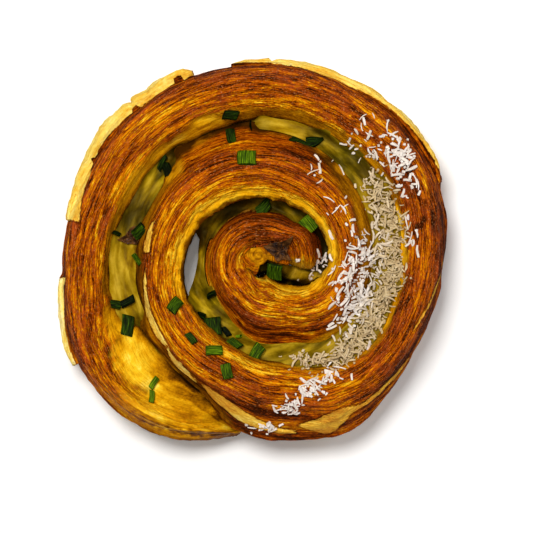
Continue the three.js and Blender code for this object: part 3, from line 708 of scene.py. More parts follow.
def dough_part():
    """The coil of dough with its relief, and what its material reads at each point."""
    ends = list(COLLAR_REACH[:, 0]) + [row[0] for flap in FLAPS for row in flap[2]]
    angle = coil_angles(COIL_START, COIL_END, STEP_ALONG, ends)
    profile, number = curve_through(dough_sections(angle), SAMPLES)
    A, N = np.meshgrid(angle, number, indexing="ij")
    ragged = bump(*RAGGED_RIM, A)
    ragged = ragged * bump(WALL_IN, SIDE_IN - 0.35, SIDE_IN + 0.1, SHOULDER_IN - 0.1, N)
    edge_way = np.cumsum(np.radians(np.diff(angle, prepend=angle[0])) * profile[:, 0, 0])[:, None]
    teeth = 0.9 * layered(edge_way / 3.1, 0.5, 42, 4) + 0.3 * noise(edge_way / 0.8, 2.5, 43)
    profile[..., 0] -= ragged * teeth
    height = profile[..., 1]
    points = on_coil(A, profile[..., 0], height)

    # the way along the coil and across the section, in millimetres
    middle = int(np.argmin(abs(number - RIDGE_MIDDLE)))
    U = np.broadcast_to(way_along(points[:, middle])[:, None], A.shape)
    Q = np.cumsum(np.linalg.norm(np.diff(profile, axis=1, prepend=profile[:, :1]), axis=2), axis=1)
    Q = Q - Q[:, middle:middle + 1]

    def field(length, width, seed):
        return noise(U / length, Q / width, seed)

    def edge_noise(length, line, seed):
        return noise(U / length, line, seed)

    warp = 1.5 * field(26, 6, 1) + 0.55 * field(9, 2.6, 2) + 0.14 * field(2.4, 1.2, 3)
    coarse, tone, brink = strands(U, (Q + warp) / 1.05, 10)
    small, small_tone, small_brink = strands(U, (Q + 1.3 * warp) / 0.62 + 7, 20)
    layers, layer_tone, layer_brink = strands(U, (Q + 0.5 * warp) / 1.5, 50)
    broad = field(17, 4.5, 30)
    lumps = field(6, 3, 31) + 0.5 * field(2.6, 1.5, 32)
    folds = noise(U / 15, (Q + 2.5 * warp) / 2.4, 33)
    pits = layered(U / 1.3, Q / 1.1, 34)
    scaly = np.clip(along(SCALY, A) + 0.2 * broad, 0, 1)
    flakes = layered(U / 3.4 + 0.3 * Q, (Q + warp) / 1.5, 38, 3)

    # where the ridge, the outside, the tail and the tongue are
    N_wavy = N + 0.8 * broad
    edge_wander = 0.45 * edge_noise(3.2, 0.5, 40) + 0.3 * edge_noise(1.2, 4.5, 41)
    ridge = bump(SHOULDER_IN - 0.9, SHOULDER_IN + 0.3, SHOULDER_OUT + 0.2, SHOULDER_OUT + 1.3,
                 N + edge_wander)
    tail = smooth(*TAIL, A)
    rimward = smooth(RIDGE_MIDDLE - 1, SHOULDER_OUT - 0.5, N_wavy)
    outside = smooth(OUTSIDE_FROM, OUTSIDE_FULLY, A)
    wall = outside * smooth(EDGE, WALL_OUT + 0.3, N)
    tongue_wander = A + 3 * noise(Q / 2, 8.5, 37)
    tongue_tip, tongue_edge = (1 - smooth(*part, tongue_wander) for part in (TONGUE_TIP, TONGUE_EDGE))
    flap, lift, flap_bake = flap_field(A, profile[..., 0], height)
    patched = spotted(np.zeros_like(flap), points, FLANK_PATCHES, 0.35 * lumps, 0.3, 1.1)
    on_flank = bump(WALL_IN, SIDE_IN, SHOULDER_IN, SHOULDER_IN + 1, N)
    on_flank = on_flank + bump(SHOULDER_OUT, SIDE_OUT, EDGE, WALL_OUT, N)

    # relief
    stranded = (0.30 * coarse + 0.16 * small) * (1 - 0.6 * scaly)
    depth = ridge * (stranded + 0.5 * scaly * flakes + 0.20 * lumps) * (1 - 0.8 * tail)
    depth += (1 - ridge) * (0.06 * coarse + 0.30 * lumps + 0.06 * pits)
    depth += ragged * 0.25 * field(1.2, 1.6, 44)
    depth += tail * (0.55 * (1 - 2 * np.abs(folds)) * (1 - rimward) + (0.05 + 0.22 * rimward) * pits)
    depth += wall * 0.3 * layers
    depth *= 1 - (0.75 - 0.35 * wall) * smooth(0.1, 0.6, flap)
    wrinkles = 0.35 * noise((U + 1.5 * Q) / 3.4, Q / 5, 47) + 0.12 * field(1.6, 2, 48)
    depth += smooth(0.1, 0.8, flap) * wrinkles
    depth -= 1.2 * patched * on_flank
    depth *= bump(0, FOOT_IN + 0.5, FOOT_OUT - 0.3, FOOT_OUT + 0.7, N)
    points = points + tube_normals(points) * depth[..., None]
    points[..., 2] += lift * bump(FOOT_IN, WALL_IN, COLLAR_TOP - 0.5, COLLAR_TOP, N)
    points[..., 2] = np.maximum(points[..., 2], 0)

    # how brown the crust is
    bake = along(BAKE, A) + 0.13 * tone + 0.07 * small_tone + 0.12 * broad
    # darker at each strand's brink: partly its more baked edge, partly painted shade in the crevice below it
    bake += (0.24 * brink + 0.12 * small_brink) * (1 - 0.6 * scaly)
    bake += 0.15 * noise(U / 26, (Q + warp) / 2.4, 35)
    bake += 0.30 * scaly * flakes * (1 - tail)
    darker = bump(*DARK_OUTSIDE, A) * (1 - bump(*LESS_DARK, A))
    bake += 0.12 * smooth(RIDGE_MIDDLE - 1, SHOULDER_OUT, N) * darker
    # darker down the outer side of the inner turns: partly browning, partly painted shade in the groove
    bake += 0.12 * smooth(SHOULDER_OUT, WALL_OUT, N) * (1 - outside)
    golden_edge = bump(SHOULDER_IN - 2, SHOULDER_IN - 0.4, SHOULDER_IN + 0.4, SHOULDER_IN + 2.4, N)
    bake -= 0.16 * golden_edge * smooth(*GOLDEN_EDGE, A) * (1 - 0.7 * bump(*LESS_GOLDEN, A))
    bake += 0.06 * smooth(SHOULDER_OUT - 1.5, SHOULDER_OUT + 0.5, N) * (1 - tail)
    plum = bump(RIDGE_MIDDLE + 0.2, RIDGE_MIDDLE + 1.3, SHOULDER_OUT - 1.2, SHOULDER_OUT - 0.2, N_wavy)
    bake += 0.30 * bump(*PLUM_BAND, A) * plum
    bake += tail * (0.25 * pits - 0.05)
    bake += 0.34 * along(SCALY, A) * layered(U / 4.5, (Q + warp) / 2.0, 36, 2) * (1 - tail)
    bake += wall * (-0.10 + 0.12 * tone - 0.24 * (1 - smooth(2, 15, height + 3 * broad)))
    bake = lerp(bake, 0.08 + 0.12 * lumps, 0.85 * tongue_tip)
    bake = spotted(bake, points, SPOTS, 0.3 * small_tone, 0.4, 1.2)
    rimmed = bump(*YELLOW_RIM, A)
    bake -= 0.20 * rimmed * (1 - smooth(SHOULDER_IN + 0.3, SHOULDER_IN + 2.4, N_wavy))
    stranded_rim = sum(bump(*stretch, A) for stretch in STRANDED_RIMS)
    bake -= 0.04 * stranded_rim * (1 - smooth(SHOULDER_IN - 0.5, SHOULDER_IN + 1.5, N))

    # where the smooth flanks show, and how brown they are
    yellow_edge = -0.1 + rimmed * (0.35 + 0.5 * edge_noise(5, 3.3, 45) + 0.3 * edge_noise(1.8, 5.3, 46))
    inner_side = N - yellow_edge + 1.3 * edge_wander + 0.3 * broad
    inner_side = 1 - smooth(SHOULDER_IN - 0.6, SHOULDER_IN + 0.5, inner_side)
    inner_side *= smooth(*FLANK_SHOWS, A + 12 * broad)
    inner_side *= 1 - 0.85 * stranded_rim * smooth(SIDE_IN - 0.1, SIDE_IN + 0.2, N + 0.3 * broad)
    down = SHOULDER_OUT + along(STRANDS_DOWN, A)
    outer_side = (1 - wall) * smooth(down - 0.4, down + 0.8, N + edge_wander)
    flank = np.clip(np.maximum(inner_side + outer_side, 0.85 * tail), 0, 1)
    # the tongue's edge counts as flank: its own yellow, made paler still as painted light on the steep end
    # face that turns from the lamp
    flank = np.maximum(flank, 0.9 * tongue_edge)
    # both flanks darker towards the groove's bottom: partly filling soaked into the dough, partly painted
    # shade
    flank_bake = np.where(N < RIDGE_MIDDLE, along(INNER_BAKE, A) + 0.25 * smooth(SIDE_IN - 0.1, WALL_IN, N),
                          along(OUTER_BAKE, A) + 0.12 * smooth(SIDE_OUT, EDGE, N))
    flank_bake += tail * ridge * (0.10 * rimward + (0.12 + 0.80 * rimward) * pits)
    flank_bake += tail * 0.26 * (np.abs(folds) - 0.25) * (1 - rimward)
    tail_fold = SIDE_IN + 0.05 + 0.12 * edge_noise(5, 6.5, 46)
    flank_bake += 0.30 * bump(*TAIL_FOLD, A) * (1 - smooth(tail_fold - 0.12, tail_fold, N))
    flank_bake += 0.16 * broad + 0.10 * lumps + 0.04 * tone + patched
    # painted light: the tongue's edge made pale so that its steep face looks lit
    flank_bake = lerp(flank_bake, 0.10 + 0.10 * lumps, tongue_edge)
    flank_bake = np.maximum(flank_bake, 0.08 - 0.08 * tongue_edge)
    pale_bake = flap_bake + 0.10 * broad + 0.08 * lumps + 0.3 * (1 - smooth(0, 5, height))
    pale_bake += wall * (0.08 * layer_tone + 0.28 * layer_brink - 0.05)

    # shade under the brinks and in the seams
    shade = (1 - tongue_tip) * (1 - 0.5 * scaly) * ridge * brink
    shade = np.clip(0.34 * shade * smooth(-0.2, 0.5, broad + 0.3), 0, 1)
    near_seam = 0.4 * np.where(N < RIDGE_MIDDLE, seam_at(A - 360)[0], seam_at(A)[0])
    seam_in = bump(WALL_IN - 1, WALL_IN - 0.5, WALL_IN, WALL_IN + 0.12, N)
    seam_out = bump(WALL_OUT - 0.15, WALL_OUT - 0.02, WALL_OUT + 0.5, WALL_OUT + 1, N) * (1 - outside)
    shade = np.maximum(shade, near_seam * np.maximum(seam_in, seam_out))
    return closed_tube(points, {
        "coil": np.stack([U, Q, A / 360], -1), "bake": bake, "flank": flank, "flank_bake": flank_bake,
        "flap": flap, "pale_bake": pale_bake, "shade": shade, "scaly": scaly})


# -------- the filling

FILLING_START, FILLING_END = -98.0, 590.0
CLEARANCE = 0.4
TONGUE_GAP = 2.0
FILLING_SAG, FILLING_SWELL = 0.9, 0.9
FILLING_STEP = 0.6
ACROSS = 20               # samples across the top
SPILL = 1.6               # how far it runs in under the sides of the groove
HOLE_INSIDE = 2.2         # the filling reaches in so far where the hole opens, before the tongue
CORE_SIDES, CORE_RINGS = 96, 14
CORE_AT_HOLE, CORE_SLIMMER, CORE_SPILL = 3.2, 0.25, 1.1
# stretches by angle, as for the dough
HOLE_BESIDE_CORE = (257, 282, 333, 342)
BROKEN_FILLING, DARK_POCKET = (-98, -86, -42, -32), (-98, -92, -34, -24)
STRIP_SINKS, SINKS_BY = (572, 590), 6.0
# angle, then how creamy, how green and how dark the filling is, the darkness being painted shade in the
# groove and the hole
FILLING_TONE = np.array([
    [-98, 0, 0.3, 0.85], [-84, 0, 0.5, 0.6], [-70, 0, 0.9, 0.25], [-58, 0, 0.8, 0.55],
    [-46, 0, 0.5, 0.6], [-37, 0.05, 0.5, 0.5], [-31, 0.6, 0.1, 0.1], [-22, 0.75, 0, 0.05],
    [-14, 0, 0.3, 0.8], [0, 0, 0.2, 0.9], [25, 0, 0.2, 0.85], [45, 0, 0.35, 0.4],
    [75, 0, 0.3, 0.35], [92, 0, 0.25, 0.5], [125, 0, 0.2, 0.7], [137, 0.1, 0.6, 0.35],
    [148, 0.3, 0.8, 0.1], [156, 0.05, 0.15, 0.35], [168, 0, 0.1, 0.45], [176, 0.1, 0.6, 0.2],
    [190, 0.2, 0.8, 0.1], [212, 0.1, 0.7, 0.2], [240, 0.1, 0.8, 0.2], [262, 0.35, 0.8, 0.05],
    [285, 0.35, 0.8, 0.1], [305, 0.3, 0.6, 0.25], [340, 0.4, 0.4, 0.25], [385, 0.5, 0.5, 0.2],
    [398, 0.1, 0.6, 0.5], [405, 0, 0.8, 0.35], [424, 0.1, 0.6, 0.35], [430, 0.6, 0.3, 0.1],
    [440, 0.9, 0.2, 0], [452, 0.5, 0.3, 0.4], [480, 0.1, 0.4, 0.6], [492, 0, 0.3, 0.75],
    [498, 0, 0.5, 0.4], [505, 0.3, 0.9, 0.05], [514, 0.2, 0.7, 0.3], [525, 0, 0.5, 0.7],
    [534, 0.5, 0.6, 0.1], [545, 0.75, 0.5, 0], [562, 0.6, 0.6, 0.05], [575, 0.1, 0.3, 0.5],
    [592, 0.1, 0.3, 0.8],
])
CREAM, GREEN, DARK = 1, 2, 3


def filling_strip():
    """The filling in the groove, with lumps, and with torn hollows beside the innermost turn, painted shade
    darkening the hollows.
    """
    angle = coil_angles(FILLING_START, FILLING_END, FILLING_STEP)
    before = angle < COIL_START - TONGUE_GAP
    slot = covers(SLOT_INNER_SIDE, angle)
    free = before | slot
    closeness = seam_at(angle)[0]
    start = np.where(before, HOLE_INSIDE, sides_at(angle)[1] + CLEARANCE) - CLEARANCE * closeness
    end = sides_at(angle + 360)[0] - CLEARANCE + CLEARANCE * closeness
    end = np.where(slot, np.minimum(end, along(SLOT_INNER_SIDE, angle)), end)
    level = along(FILLING_LEVEL, angle) - 3.0 * closeness - SINKS_BY * smooth(*STRIP_SINKS, angle)
    spill = (np.where(free, 0.0, SPILL) * (1 - closeness))[:, None]
    t = np.r_[0.0, 0.0, np.linspace(0, 1, ACROSS), 1.0, 1.0][None, :]
    radius = lerp(start[:, None], end[:, None], t)
    radius[:, 1:-1] = lerp(start[:, None] - spill, end[:, None] + spill, t[:, 1:-1])
    A = np.broadcast_to(angle[:, None], radius.shape)
    steps = np.radians(np.diff(angle, prepend=angle[0]))
    U = np.cumsum(steps * (start + end) / 2)[:, None] + 0 * radius

    top = level[:, None] - FILLING_SAG * np.sin(np.pi * t) + np.where(free, 0.0, FILLING_SWELL)[:, None]
    height = top * np.ones_like(radius)
    relief = 1.1 * noise(U / 5.5, radius / 3.4, 70) + 0.22 * noise(U / 3.4, radius / 1.5, 71)
    relief = relief * (1 - 0.7 * closeness[:, None])
    in_hole = bump(*BROKEN_FILLING, A)
    broken = noise(U / 1.5, radius / 1.5, 77)
    # a pocket along the rim beside the hole, sunk and darkened with painted shade
    pocket = bump(*DARK_POCKET, A) * smooth(0.70, 0.85, t + 0.16 * noise(U / 2.2, 3.5, 82))
    relief += in_hole * 1.6 * broken - 5 * pocket
    height[:, 2:-2] += relief[:, 2:-2]
    height[:, [1, -2]] *= 0.6
    height[:, [0, -1]] = 0
    attributes = {"coil": np.stack([U, radius, A / 360], -1)}
    for key, column in (("cream", CREAM), ("green", GREEN), ("shade", DARK)):
        mottled = along(FILLING_TONE, A, column) + 0.22 * noise(U / 4, radius / 2.5, 72 + column)
        attributes[key] = np.clip(mottled, 0, 1)
    # painted shade, darker in the hollows between the hole's lumps and in the pocket
    attributes["shade"] = np.clip(attributes["shade"] - 0.9 * in_hole * broken + 0.7 * pocket, 0, 1)
    return closed_tube(on_coil(A, radius, height), attributes)


def filling_core():
    """The filled middle of the innermost turn, a drum with a gently crumpled top."""
    angle = np.linspace(0, 360, CORE_SIDES, endpoint=False)
    coil_angle = np.where(angle > HOLE_BESIDE_CORE[2], angle - 360, angle)
    beside = along(STRIP, coil_angle, INNER) - CLEARANCE
    opening = bump(*HOLE_BESIDE_CORE, angle)
    rim = lerp(beside + CORE_SPILL, np.minimum(beside, CORE_AT_HOLE), opening) - CORE_SLIMMER
    share = np.r_[1.0, 1.0, 0.99, 0.95, np.linspace(0.9, 0.03, CORE_RINGS)][:, None]
    level = np.r_[0.0, 0.82, 0.93, 0.98, np.ones(CORE_RINGS)][:, None]
    radius = rim[None, :] * share
    A = np.broadcast_to(angle[None, :], radius.shape)
    way = np.radians(A) * radius
    x, y = radius * np.cos(np.radians(A)), radius * np.sin(np.radians(A))
    ply, tone, brink = strands(way, radius / 0.85 - A / 360 + 0.5 * noise(x / 2, y / 2, 74), 73)
    lengthwise, crosswise = 0.82 * x - 0.57 * y - 0.5, 0.57 * x + 0.82 * y + 0.2
    away = np.hypot(lengthwise / 4.8, crosswise / 2.6) + 0.25 * noise(x / 1.3, y / 1.3, 79)
    patch = 1 - smooth(0.7, 1.15, away)
    relief = 0.35 * noise(x / 2.2, y / 2.2, 75) + 0.13 * noise(x / 0.8, y / 0.8, 76)
    relief = relief + 0.22 * ply * (1 - patch)
    height = level * (CORE_LEVEL - 0.5 + 0.4 * (1 - share ** 2)) + (level > 0.9) * relief
    even = np.ones_like(radius)
    # painted shade on the drum's sides, below its top
    return closed_tube(on_coil(A, radius, height), {
        "coil": np.stack([way + 3 * radius, radius + 0.4 * noise(x / 2, y / 2, 78), 0 * even], -1),
        "bake": 0.52 + 0.16 * tone + 0.3 * brink, "flank": 0.9 * patch,
        "flank_bake": 0.62 - 0.25 * relief + 0.18 * noise(x / 0.6, y / 0.6, 81), "flap": -9 * even,
        "pale_bake": 0 * even, "shade": 0.7 * (1 - smooth(0.8, 0.95, level)) * even, "scaly": 0.4 * even})


# -------- the toppings

class Ground:
    """What the toppings lie on: the dough and the filling, and what has already been laid down."""
    CELL = 0.7
    ABOVE_ALL = 0.1       # metres

    def __init__(self, *pieces):
        vertices, faces = [], []
        for piece in pieces:
            start = len(vertices)
            vertices += [v.co.copy() for v in piece.data.vertices]
            faces += [[i + start for i in face.vertices] for face in piece.data.polygons]
        self.tree = BVHTree.FromPolygons(vertices, faces)
        self.pile = {}

    def height(self, x, y):
        hit = self.tree.ray_cast(Vector((x * MM, y * MM, self.ABOVE_ALL)), Vector((0, 0, -1)))[0]
        return hit.z / MM if hit else 0.0

    def piled(self, x, y):
        return self.pile.get((round(x / self.CELL), round(y / self.CELL)), 0.0)

    def top(self, x, y):
        return max(self.height(x, y), self.piled(x, y))

    def raise_to(self, x, y, z):
        self.pile[round(x / self.CELL), round(y / self.CELL)] = max(z, self.piled(x, y))


# x, y, length, width, heading of the length, slant of the cuts, lift, tone from dark to bright
CHIVES = [
    (-6.2, 38, 4.1, 2.9, -3, 0.1, 0.3, 0.3), (-5.9, 31.5, 4.9, 2.6, 102, 0.1, 0.3, 0.38),
    (-1.6, 25.4, 4, 5.2, 91, 0, 0.3, 0.72), (-25.6, 24.8, 4.6, 1.5, 63, 0.2, 0.3, 0.3),
    (-23.9, 22.7, 4.4, 2.7, 110, 0.2, 0.3, 0.1), (-31.6, 5.2, 4, 3.6, 44, 0, 1, 0.42),
    (-38.5, 4.8, 2.2, 1.2, -25, 0.2, 0.3, 0.15), (3.2, 11.8, 5.2, 3.5, 47, 0.3, 1.2, 0.5),
    (15.8, 7.4, 4.6, 3.9, 131, 0, 2.6, 0.78), (-32, -2.6, 3.9, 1.5, -54, 0.1, 0.9, 0.6),
    (-38.8, -15.4, 3.4, 2.4, -8, 0.1, 0.3, 0.35), (-35.2, -14.4, 4.2, 2.2, 28, 0.1, 0.3, 0.12),
    (-35.4, -21.3, 5.8, 3.6, 84, 0.05, 0.3, 0.4), (-21.7, -15.4, 4.2, 3.3, 53, 0, 0.3, 0.6),
    (-17, -24.6, 3.4, 2, -52, 0.1, 0.3, 0.5), (-10.7, -28, 4.6, 2.8, 0, 0, 0.3, 0.7),
    (-7.1, -33.6, 4.2, 2.9, -77, 0, 0.3, 0.65), (-11.1, -21.5, 5, 4.7, 97, 0, 2, 0.4),
    (-14.8, -18.5, 2.4, 1.8, -20, 0.1, 0.3, 0.25), (-11.1, -12.3, 3.4, 1.6, 25, 0.2, 0.3, 0.12),
    (-4.9, -26.3, 3.8, 2.2, -35, 0.2, 0.5, 0.55), (-7.4, -23, 3.2, 1.6, -50, 0.2, 0, 0.02),
    (-27.9, -37.5, 3.6, 1.6, 58, 0.1, 0.3, 0.85), (-28.4, -41.2, 3.4, 1.5, 86, 0.1, 0.3, 0.8),
    (6.3, -5.9, 4.2, 4.5, 86, 0, 9, 0.52), (1.2, -28.7, 4.6, 3.2, 60, 0.1, 0.5, 0.62),
    (-3.6, -24.2, 1.4, 0.9, 10, 0.1, 0.3, 0.95),
]
CHIVE_THICKNESS = 1.3
CHIVE_TILT = 0.9          # an end or a side lies no further than this above or below the middle
CHIVE_SIDES, CHIVE_RINGS, CHIVE_RIBS = 18, 9, 9


def laid_frame(ground, x, y, length, width, heading):
    """Middle and axes of a flat piece that lies along its heading on the ground."""
    turn = math.radians(heading)
    ahead = np.array([math.cos(turn), math.sin(turn)])
    left = np.array([-ahead[1], ahead[0]])
    centre = ground.height(x, y)

    def level(a, b):
        z = ground.height(*(np.array([x, y]) + ahead * a + left * b))
        return min(max(z, centre - CHIVE_TILT), centre + CHIVE_TILT)

    front, back = level(length / 2, 0), level(-length / 2, 0)
    one_side, other_side = level(0, width / 2), level(0, -width / 2)
    forward = np.array([*(ahead * length), front - back])
    sideways = np.array([*(left * width), one_side - other_side])
    forward /= np.linalg.norm(forward)
    sideways -= forward * forward.dot(sideways)
    sideways /= np.linalg.norm(sideways)
    height = max(centre, (front + back) / 2, (one_side + other_side) / 2)
    return np.array([x, y, height]), forward, sideways, np.cross(forward, sideways)


def chive_part(ground, number, x, y, length, width, heading, slant, lift, tone):
    """A short cut tube, pressed flat and a little bent, with open ends and fine ribs."""
    middle, forward, sideways, upward = laid_frame(ground, x, y, length, width, heading)
    middle[2] += lift
    round_angle = np.linspace(0, 2 * np.pi, CHIVE_SIDES, endpoint=False)[None, :]
    s = np.linspace(-0.5, 0.5, CHIVE_RINGS)[:, None]
    bend = 0.05 * hashed(np.int64(number), np.int64(1), 80)
    rib = 1 + 0.035 * np.cos(CHIVE_RIBS * round_angle)
    flat = np.sign(np.sin(round_angle)) * np.abs(np.sin(round_angle)) ** 0.8
    skins = []
    for shrink in (1.0, 0.74):
        a = length * s + slant * np.cos(round_angle) * width
        b = shrink * width / 2 * np.cos(round_angle) * rib + bend * length * (4 * s * s - 0.3)
        c = shrink * CHIVE_THICKNESS / 2 * flat * rib + CHIVE_THICKNESS * 0.36
        skins.append(np.stack(np.broadcast_arrays(a, b, c), -1))
    outer, inner = skins
    rings = np.concatenate([outer, inner[::-1], outer[:1]], 0)
    points = middle + rings[..., :1] * forward + rings[..., 1:2] * sideways + rings[..., 2:] * upward
    rows, columns = rings.shape[:2]
    across = np.broadcast_to(round_angle * width / 2, (rows, columns))
    leaf = np.stack([rings[..., 0], across, np.full((rows, columns), number * 3.7)], -1)
    tones = np.full((rows, columns), tone)
    # the inner skin darker by painted shade inside the hollow tube
    tones[CHIVE_RINGS:-1] -= 0.25
    attributes = {"leaf": leaf.reshape(-1, 3), "tone": tones.ravel()}
    return points.reshape(-1, 3), grid_faces(rows, columns), attributes


# a broad dark blade in the groove and a thin curved thread: plan, width, tone, lift
BLADES = [
    ([(10.2, 30.9), (12.6, 31.2), (15, 30), (17.6, 30.6), (20, 31.4)], 3.6, 0.3, 0.2),
    ([(-0.6, 37), (-0.7, 35.2), (-0.2, 33.4)], 0.6, 0.02, 0.1),
]
FIRST_BLADE = 50          # blades are numbered from here
BLADE_SECTION = [(-1, 0.1), (-0.5, 0.32), (0, 0.22), (0.5, 0.32), (1, 0.1), (0.5, -0.05), (-0.5, -0.05)]


def blade_part(ground, number, path, width, tone, lift):
    """A flat curled blade along a few points of the plan, tapering to both tips."""
    path = np.array(path, float)
    last = len(path) - 1
    t = np.linspace(0, last, 13)
    x, y = (np.interp(t, range(len(path)), path[:, axis]) for axis in (0, 1))
    half = width / 2 * np.sin(np.pi * np.clip(t / last, 0.04, 0.96)) ** 0.7
    direction = np.stack([np.gradient(x), np.gradient(y)], -1)
    direction /= np.linalg.norm(direction, axis=1, keepdims=True)
    z = np.array([ground.height(a, b) for a, b in zip(x, y)]) + lift
    z = np.convolve(np.pad(z, 2, mode="edge"), np.ones(5) / 5, "valid") + 0.25
    points = np.stack([np.stack([x - direction[:, 1] * half * across, y + direction[:, 0] * half * across,
                                 z + up], -1) for across, up in BLADE_SECTION], 1)
    U = np.broadcast_to((t / last * 10)[:, None], points.shape[:2])
    V = np.broadcast_to(np.array([across for across, _ in BLADE_SECTION]) * width / 2, U.shape)
    return closed_tube(points, {"leaf": np.stack([U, V, 0 * U + number], -1), "tone": np.full(U.shape, tone)})


def chives_part(ground):
    parts = [chive_part(ground, i, *row) for i, row in enumerate(CHIVES)]
    parts += [blade_part(ground, FIRST_BLADE + i, *row) for i, row in enumerate(BLADES)]
    return joined(parts)


# grated cheese: middle angle and distance, spread in each, number, share that is creamy, its creamy tone
# partly painted shade
CHEESE = [
    (-24, 30.2, 13, 2.6, 104, 0), (-14, 28.6, 15, 3.2, 70, 0), (2, 29.2, 9, 2.8, 54, 0),
    (28, 27, 13, 3, 16, 0), (-18, 24.5, 14, 1.6, 10, 0), (-46, 36.2, 10, 1.9, 235, 1),
    (-26, 37.2, 10, 1.9, 255, 1), (-6, 37.8, 10, 1.9, 235, 1), (16, 38.8, 9, 2.2, 200, 1),
    (28, 37.6, 7, 3, 70, 0.9), (-22, 33.6, 16, 1.5, 110, 0.4), (6, 35, 8, 1.5, 36, 0.6),
    (33, 47.6, 7, 2.6, 60, 0), (41, 48.5, 6, 4.5, 18, 0), (29, 44.2, 5, 1.4, 14, 0),
    (-68, 40.6, 6, 2, 46, 0), (-57, 38.6, 7, 1.6, 30, 0), (-78, 43.6, 4, 1.3, 30, 0),
    (-10, 18.5, 6, 2, 14, 0.1), (-88, 48.7, 4, 1, 22, 0), (-68, 31.5, 5, 1.3, 22, 0.9),
    (6, 43, 6, 1.4, 14, 0.1), (44, 41.5, 5, 2, 26, 0.2), (-62, 33.8, 6, 1.2, 50, 1),
    (54, 31, 7, 2.4, 9, 0.3), (50, 46.5, 4, 1.6, 8, 0.2), (-7, 11.2, 1, 0.3, 3, 0.2),
    (3, 17, 1, 0.2, 2, 0), (-4, 19.4, 2.5, 0.8, 12, 0.1), (-10, 16.7, 2.5, 0.7, 10, 0.1),
    (-24, 16.2, 3, 0.8, 8, 0.5), (-31, 13.6, 2, 0.4, 2, 0.9),
]
SHRED_LONG, SHRED_SHORT, SHRED_WIDTH, SHRED_THICKNESS = 4.2, 0.6, 0.60, 0.25
SPREAD = 0.75             # standard deviation for each unit of spread
CREAM_SHARE = 0.82        # size of the creamy shreds beside the white ones
SHRED_SECTIONS = 4
SHRED_CORNERS = [(-1, 0), (1, 0), (0.8, 1), (-0.8, 1)]
PILE_LIMIT, WHITE_PILE_LIMIT = 1.6, 0.9
STEEPEST, STEEPEST_LAID = 2.5, 1.6        # rise over a shred that it isn't laid on, or doesn't follow
CHEESE_SEED = 20


def shred_part(ground, random, x, y, cream):
    """One grated shred: a bent, slightly twisted strip lying on what is below it."""
    share = lerp(1, CREAM_SHARE, cream)
    length = share * (SHRED_SHORT + (SHRED_LONG - SHRED_SHORT) * random.random() ** 1.8)
    width = share * SHRED_WIDTH * random.uniform(0.55, 1.6)
    heading = random.uniform(0, 2 * np.pi)
    ahead = np.array([np.cos(heading), np.sin(heading)])
    left = np.array([-ahead[1], ahead[0]])
    s = np.linspace(-0.5, 0.5, SHRED_SECTIONS)
    bend = random.uniform(-0.12, 0.12) * length
    plan = np.array([x, y]) + np.outer(s * length, ahead) + np.outer(bend * (4 * s * s - 0.5), left)
    tops = [ground.top(*p) for p in plan[[0, SHRED_SECTIONS // 2, -1]]]
    piled = tops[1] - ground.height(x, y)
    if max(tops) - min(tops) > STEEPEST or piled > lerp(WHITE_PILE_LIMIT, PILE_LIMIT, cream):
        return None
    slope = np.clip(tops[2] - tops[0], -STEEPEST_LAID, STEEPEST_LAID)
    z = max(tops[1], (tops[0] + tops[2]) / 2) + slope * s + random.uniform(0.0, 0.25)
    twist = random.uniform(-0.55, 0.55) + random.uniform(-0.5, 0.5) * s
    taper = np.clip(1.1 - (2 * np.abs(s)) ** 3 * random.uniform(0.1, 0.7), 0.2, 1)
    corners = []
    for across, up in SHRED_CORNERS:
        half = width / 2 * taper * random.uniform(0.75, 1.25, SHRED_SECTIONS)
        b = half * across * np.cos(twist)
        c = half * across * np.sin(twist) + up * SHRED_THICKNESS
        corners.append(np.stack([plan[:, 0] + left[0] * b, plan[:, 1] + left[1] * b, z + c], -1))
    points = np.stack(corners, 1)
    for p, height in zip(plan, z):
        ground.raise_to(*p, height + SHRED_THICKNESS * 0.7)
    tone = float(np.clip(cream + random.uniform(-0.15, 0.15), 0, 1))
    return closed_tube(points, {"cream": np.full(points.shape[:2], tone)})


def cheese_part(ground):
    random = np.random.default_rng(CHEESE_SEED)
    parts = []
    for angle, radius, spread_angle, spread, count, cream in CHEESE:
        for _ in range(count):
            a = np.radians(angle + spread_angle * random.normal() * SPREAD)
            r = radius + spread * random.normal() * SPREAD
            shred = shred_part(ground, random, COIL_X + r * np.cos(a), COIL_Y + r * np.sin(a), cream)
            if shred:
                parts.append(shred)
    return joined(parts)


# mushroom scraps: the middle of each in plan, how much its edges curl up, and its outline
SCRAPS = [
    ((7.8, -0.3), 0.9, [(2.9, 0.8), (4.9, 1.8), (7.1, 2.1), (9.1, 2.6), (11.5, 3.9), (10.3, 1.4),
                        (9.5, -0.3), (10.9, -3.1), (8.7, -2.6), (6.9, -3.3), (5.9, -1.7),
                        (4.3, -0.4)]),
    ((-34.4, 3.6), 0.7, [(-38.2, 2.9), (-36, 4.2), (-34.3, 6.4), (-32.9, 6.9), (-32.6, 4.8),
                         (-31.8, 2.8), (-32.6, 1.5), (-35.4, 1.8)]),
]
SCRAP_THICKNESS, SCRAP_RINGS, SCRAP_EDGE = 0.3, 9, 0.5


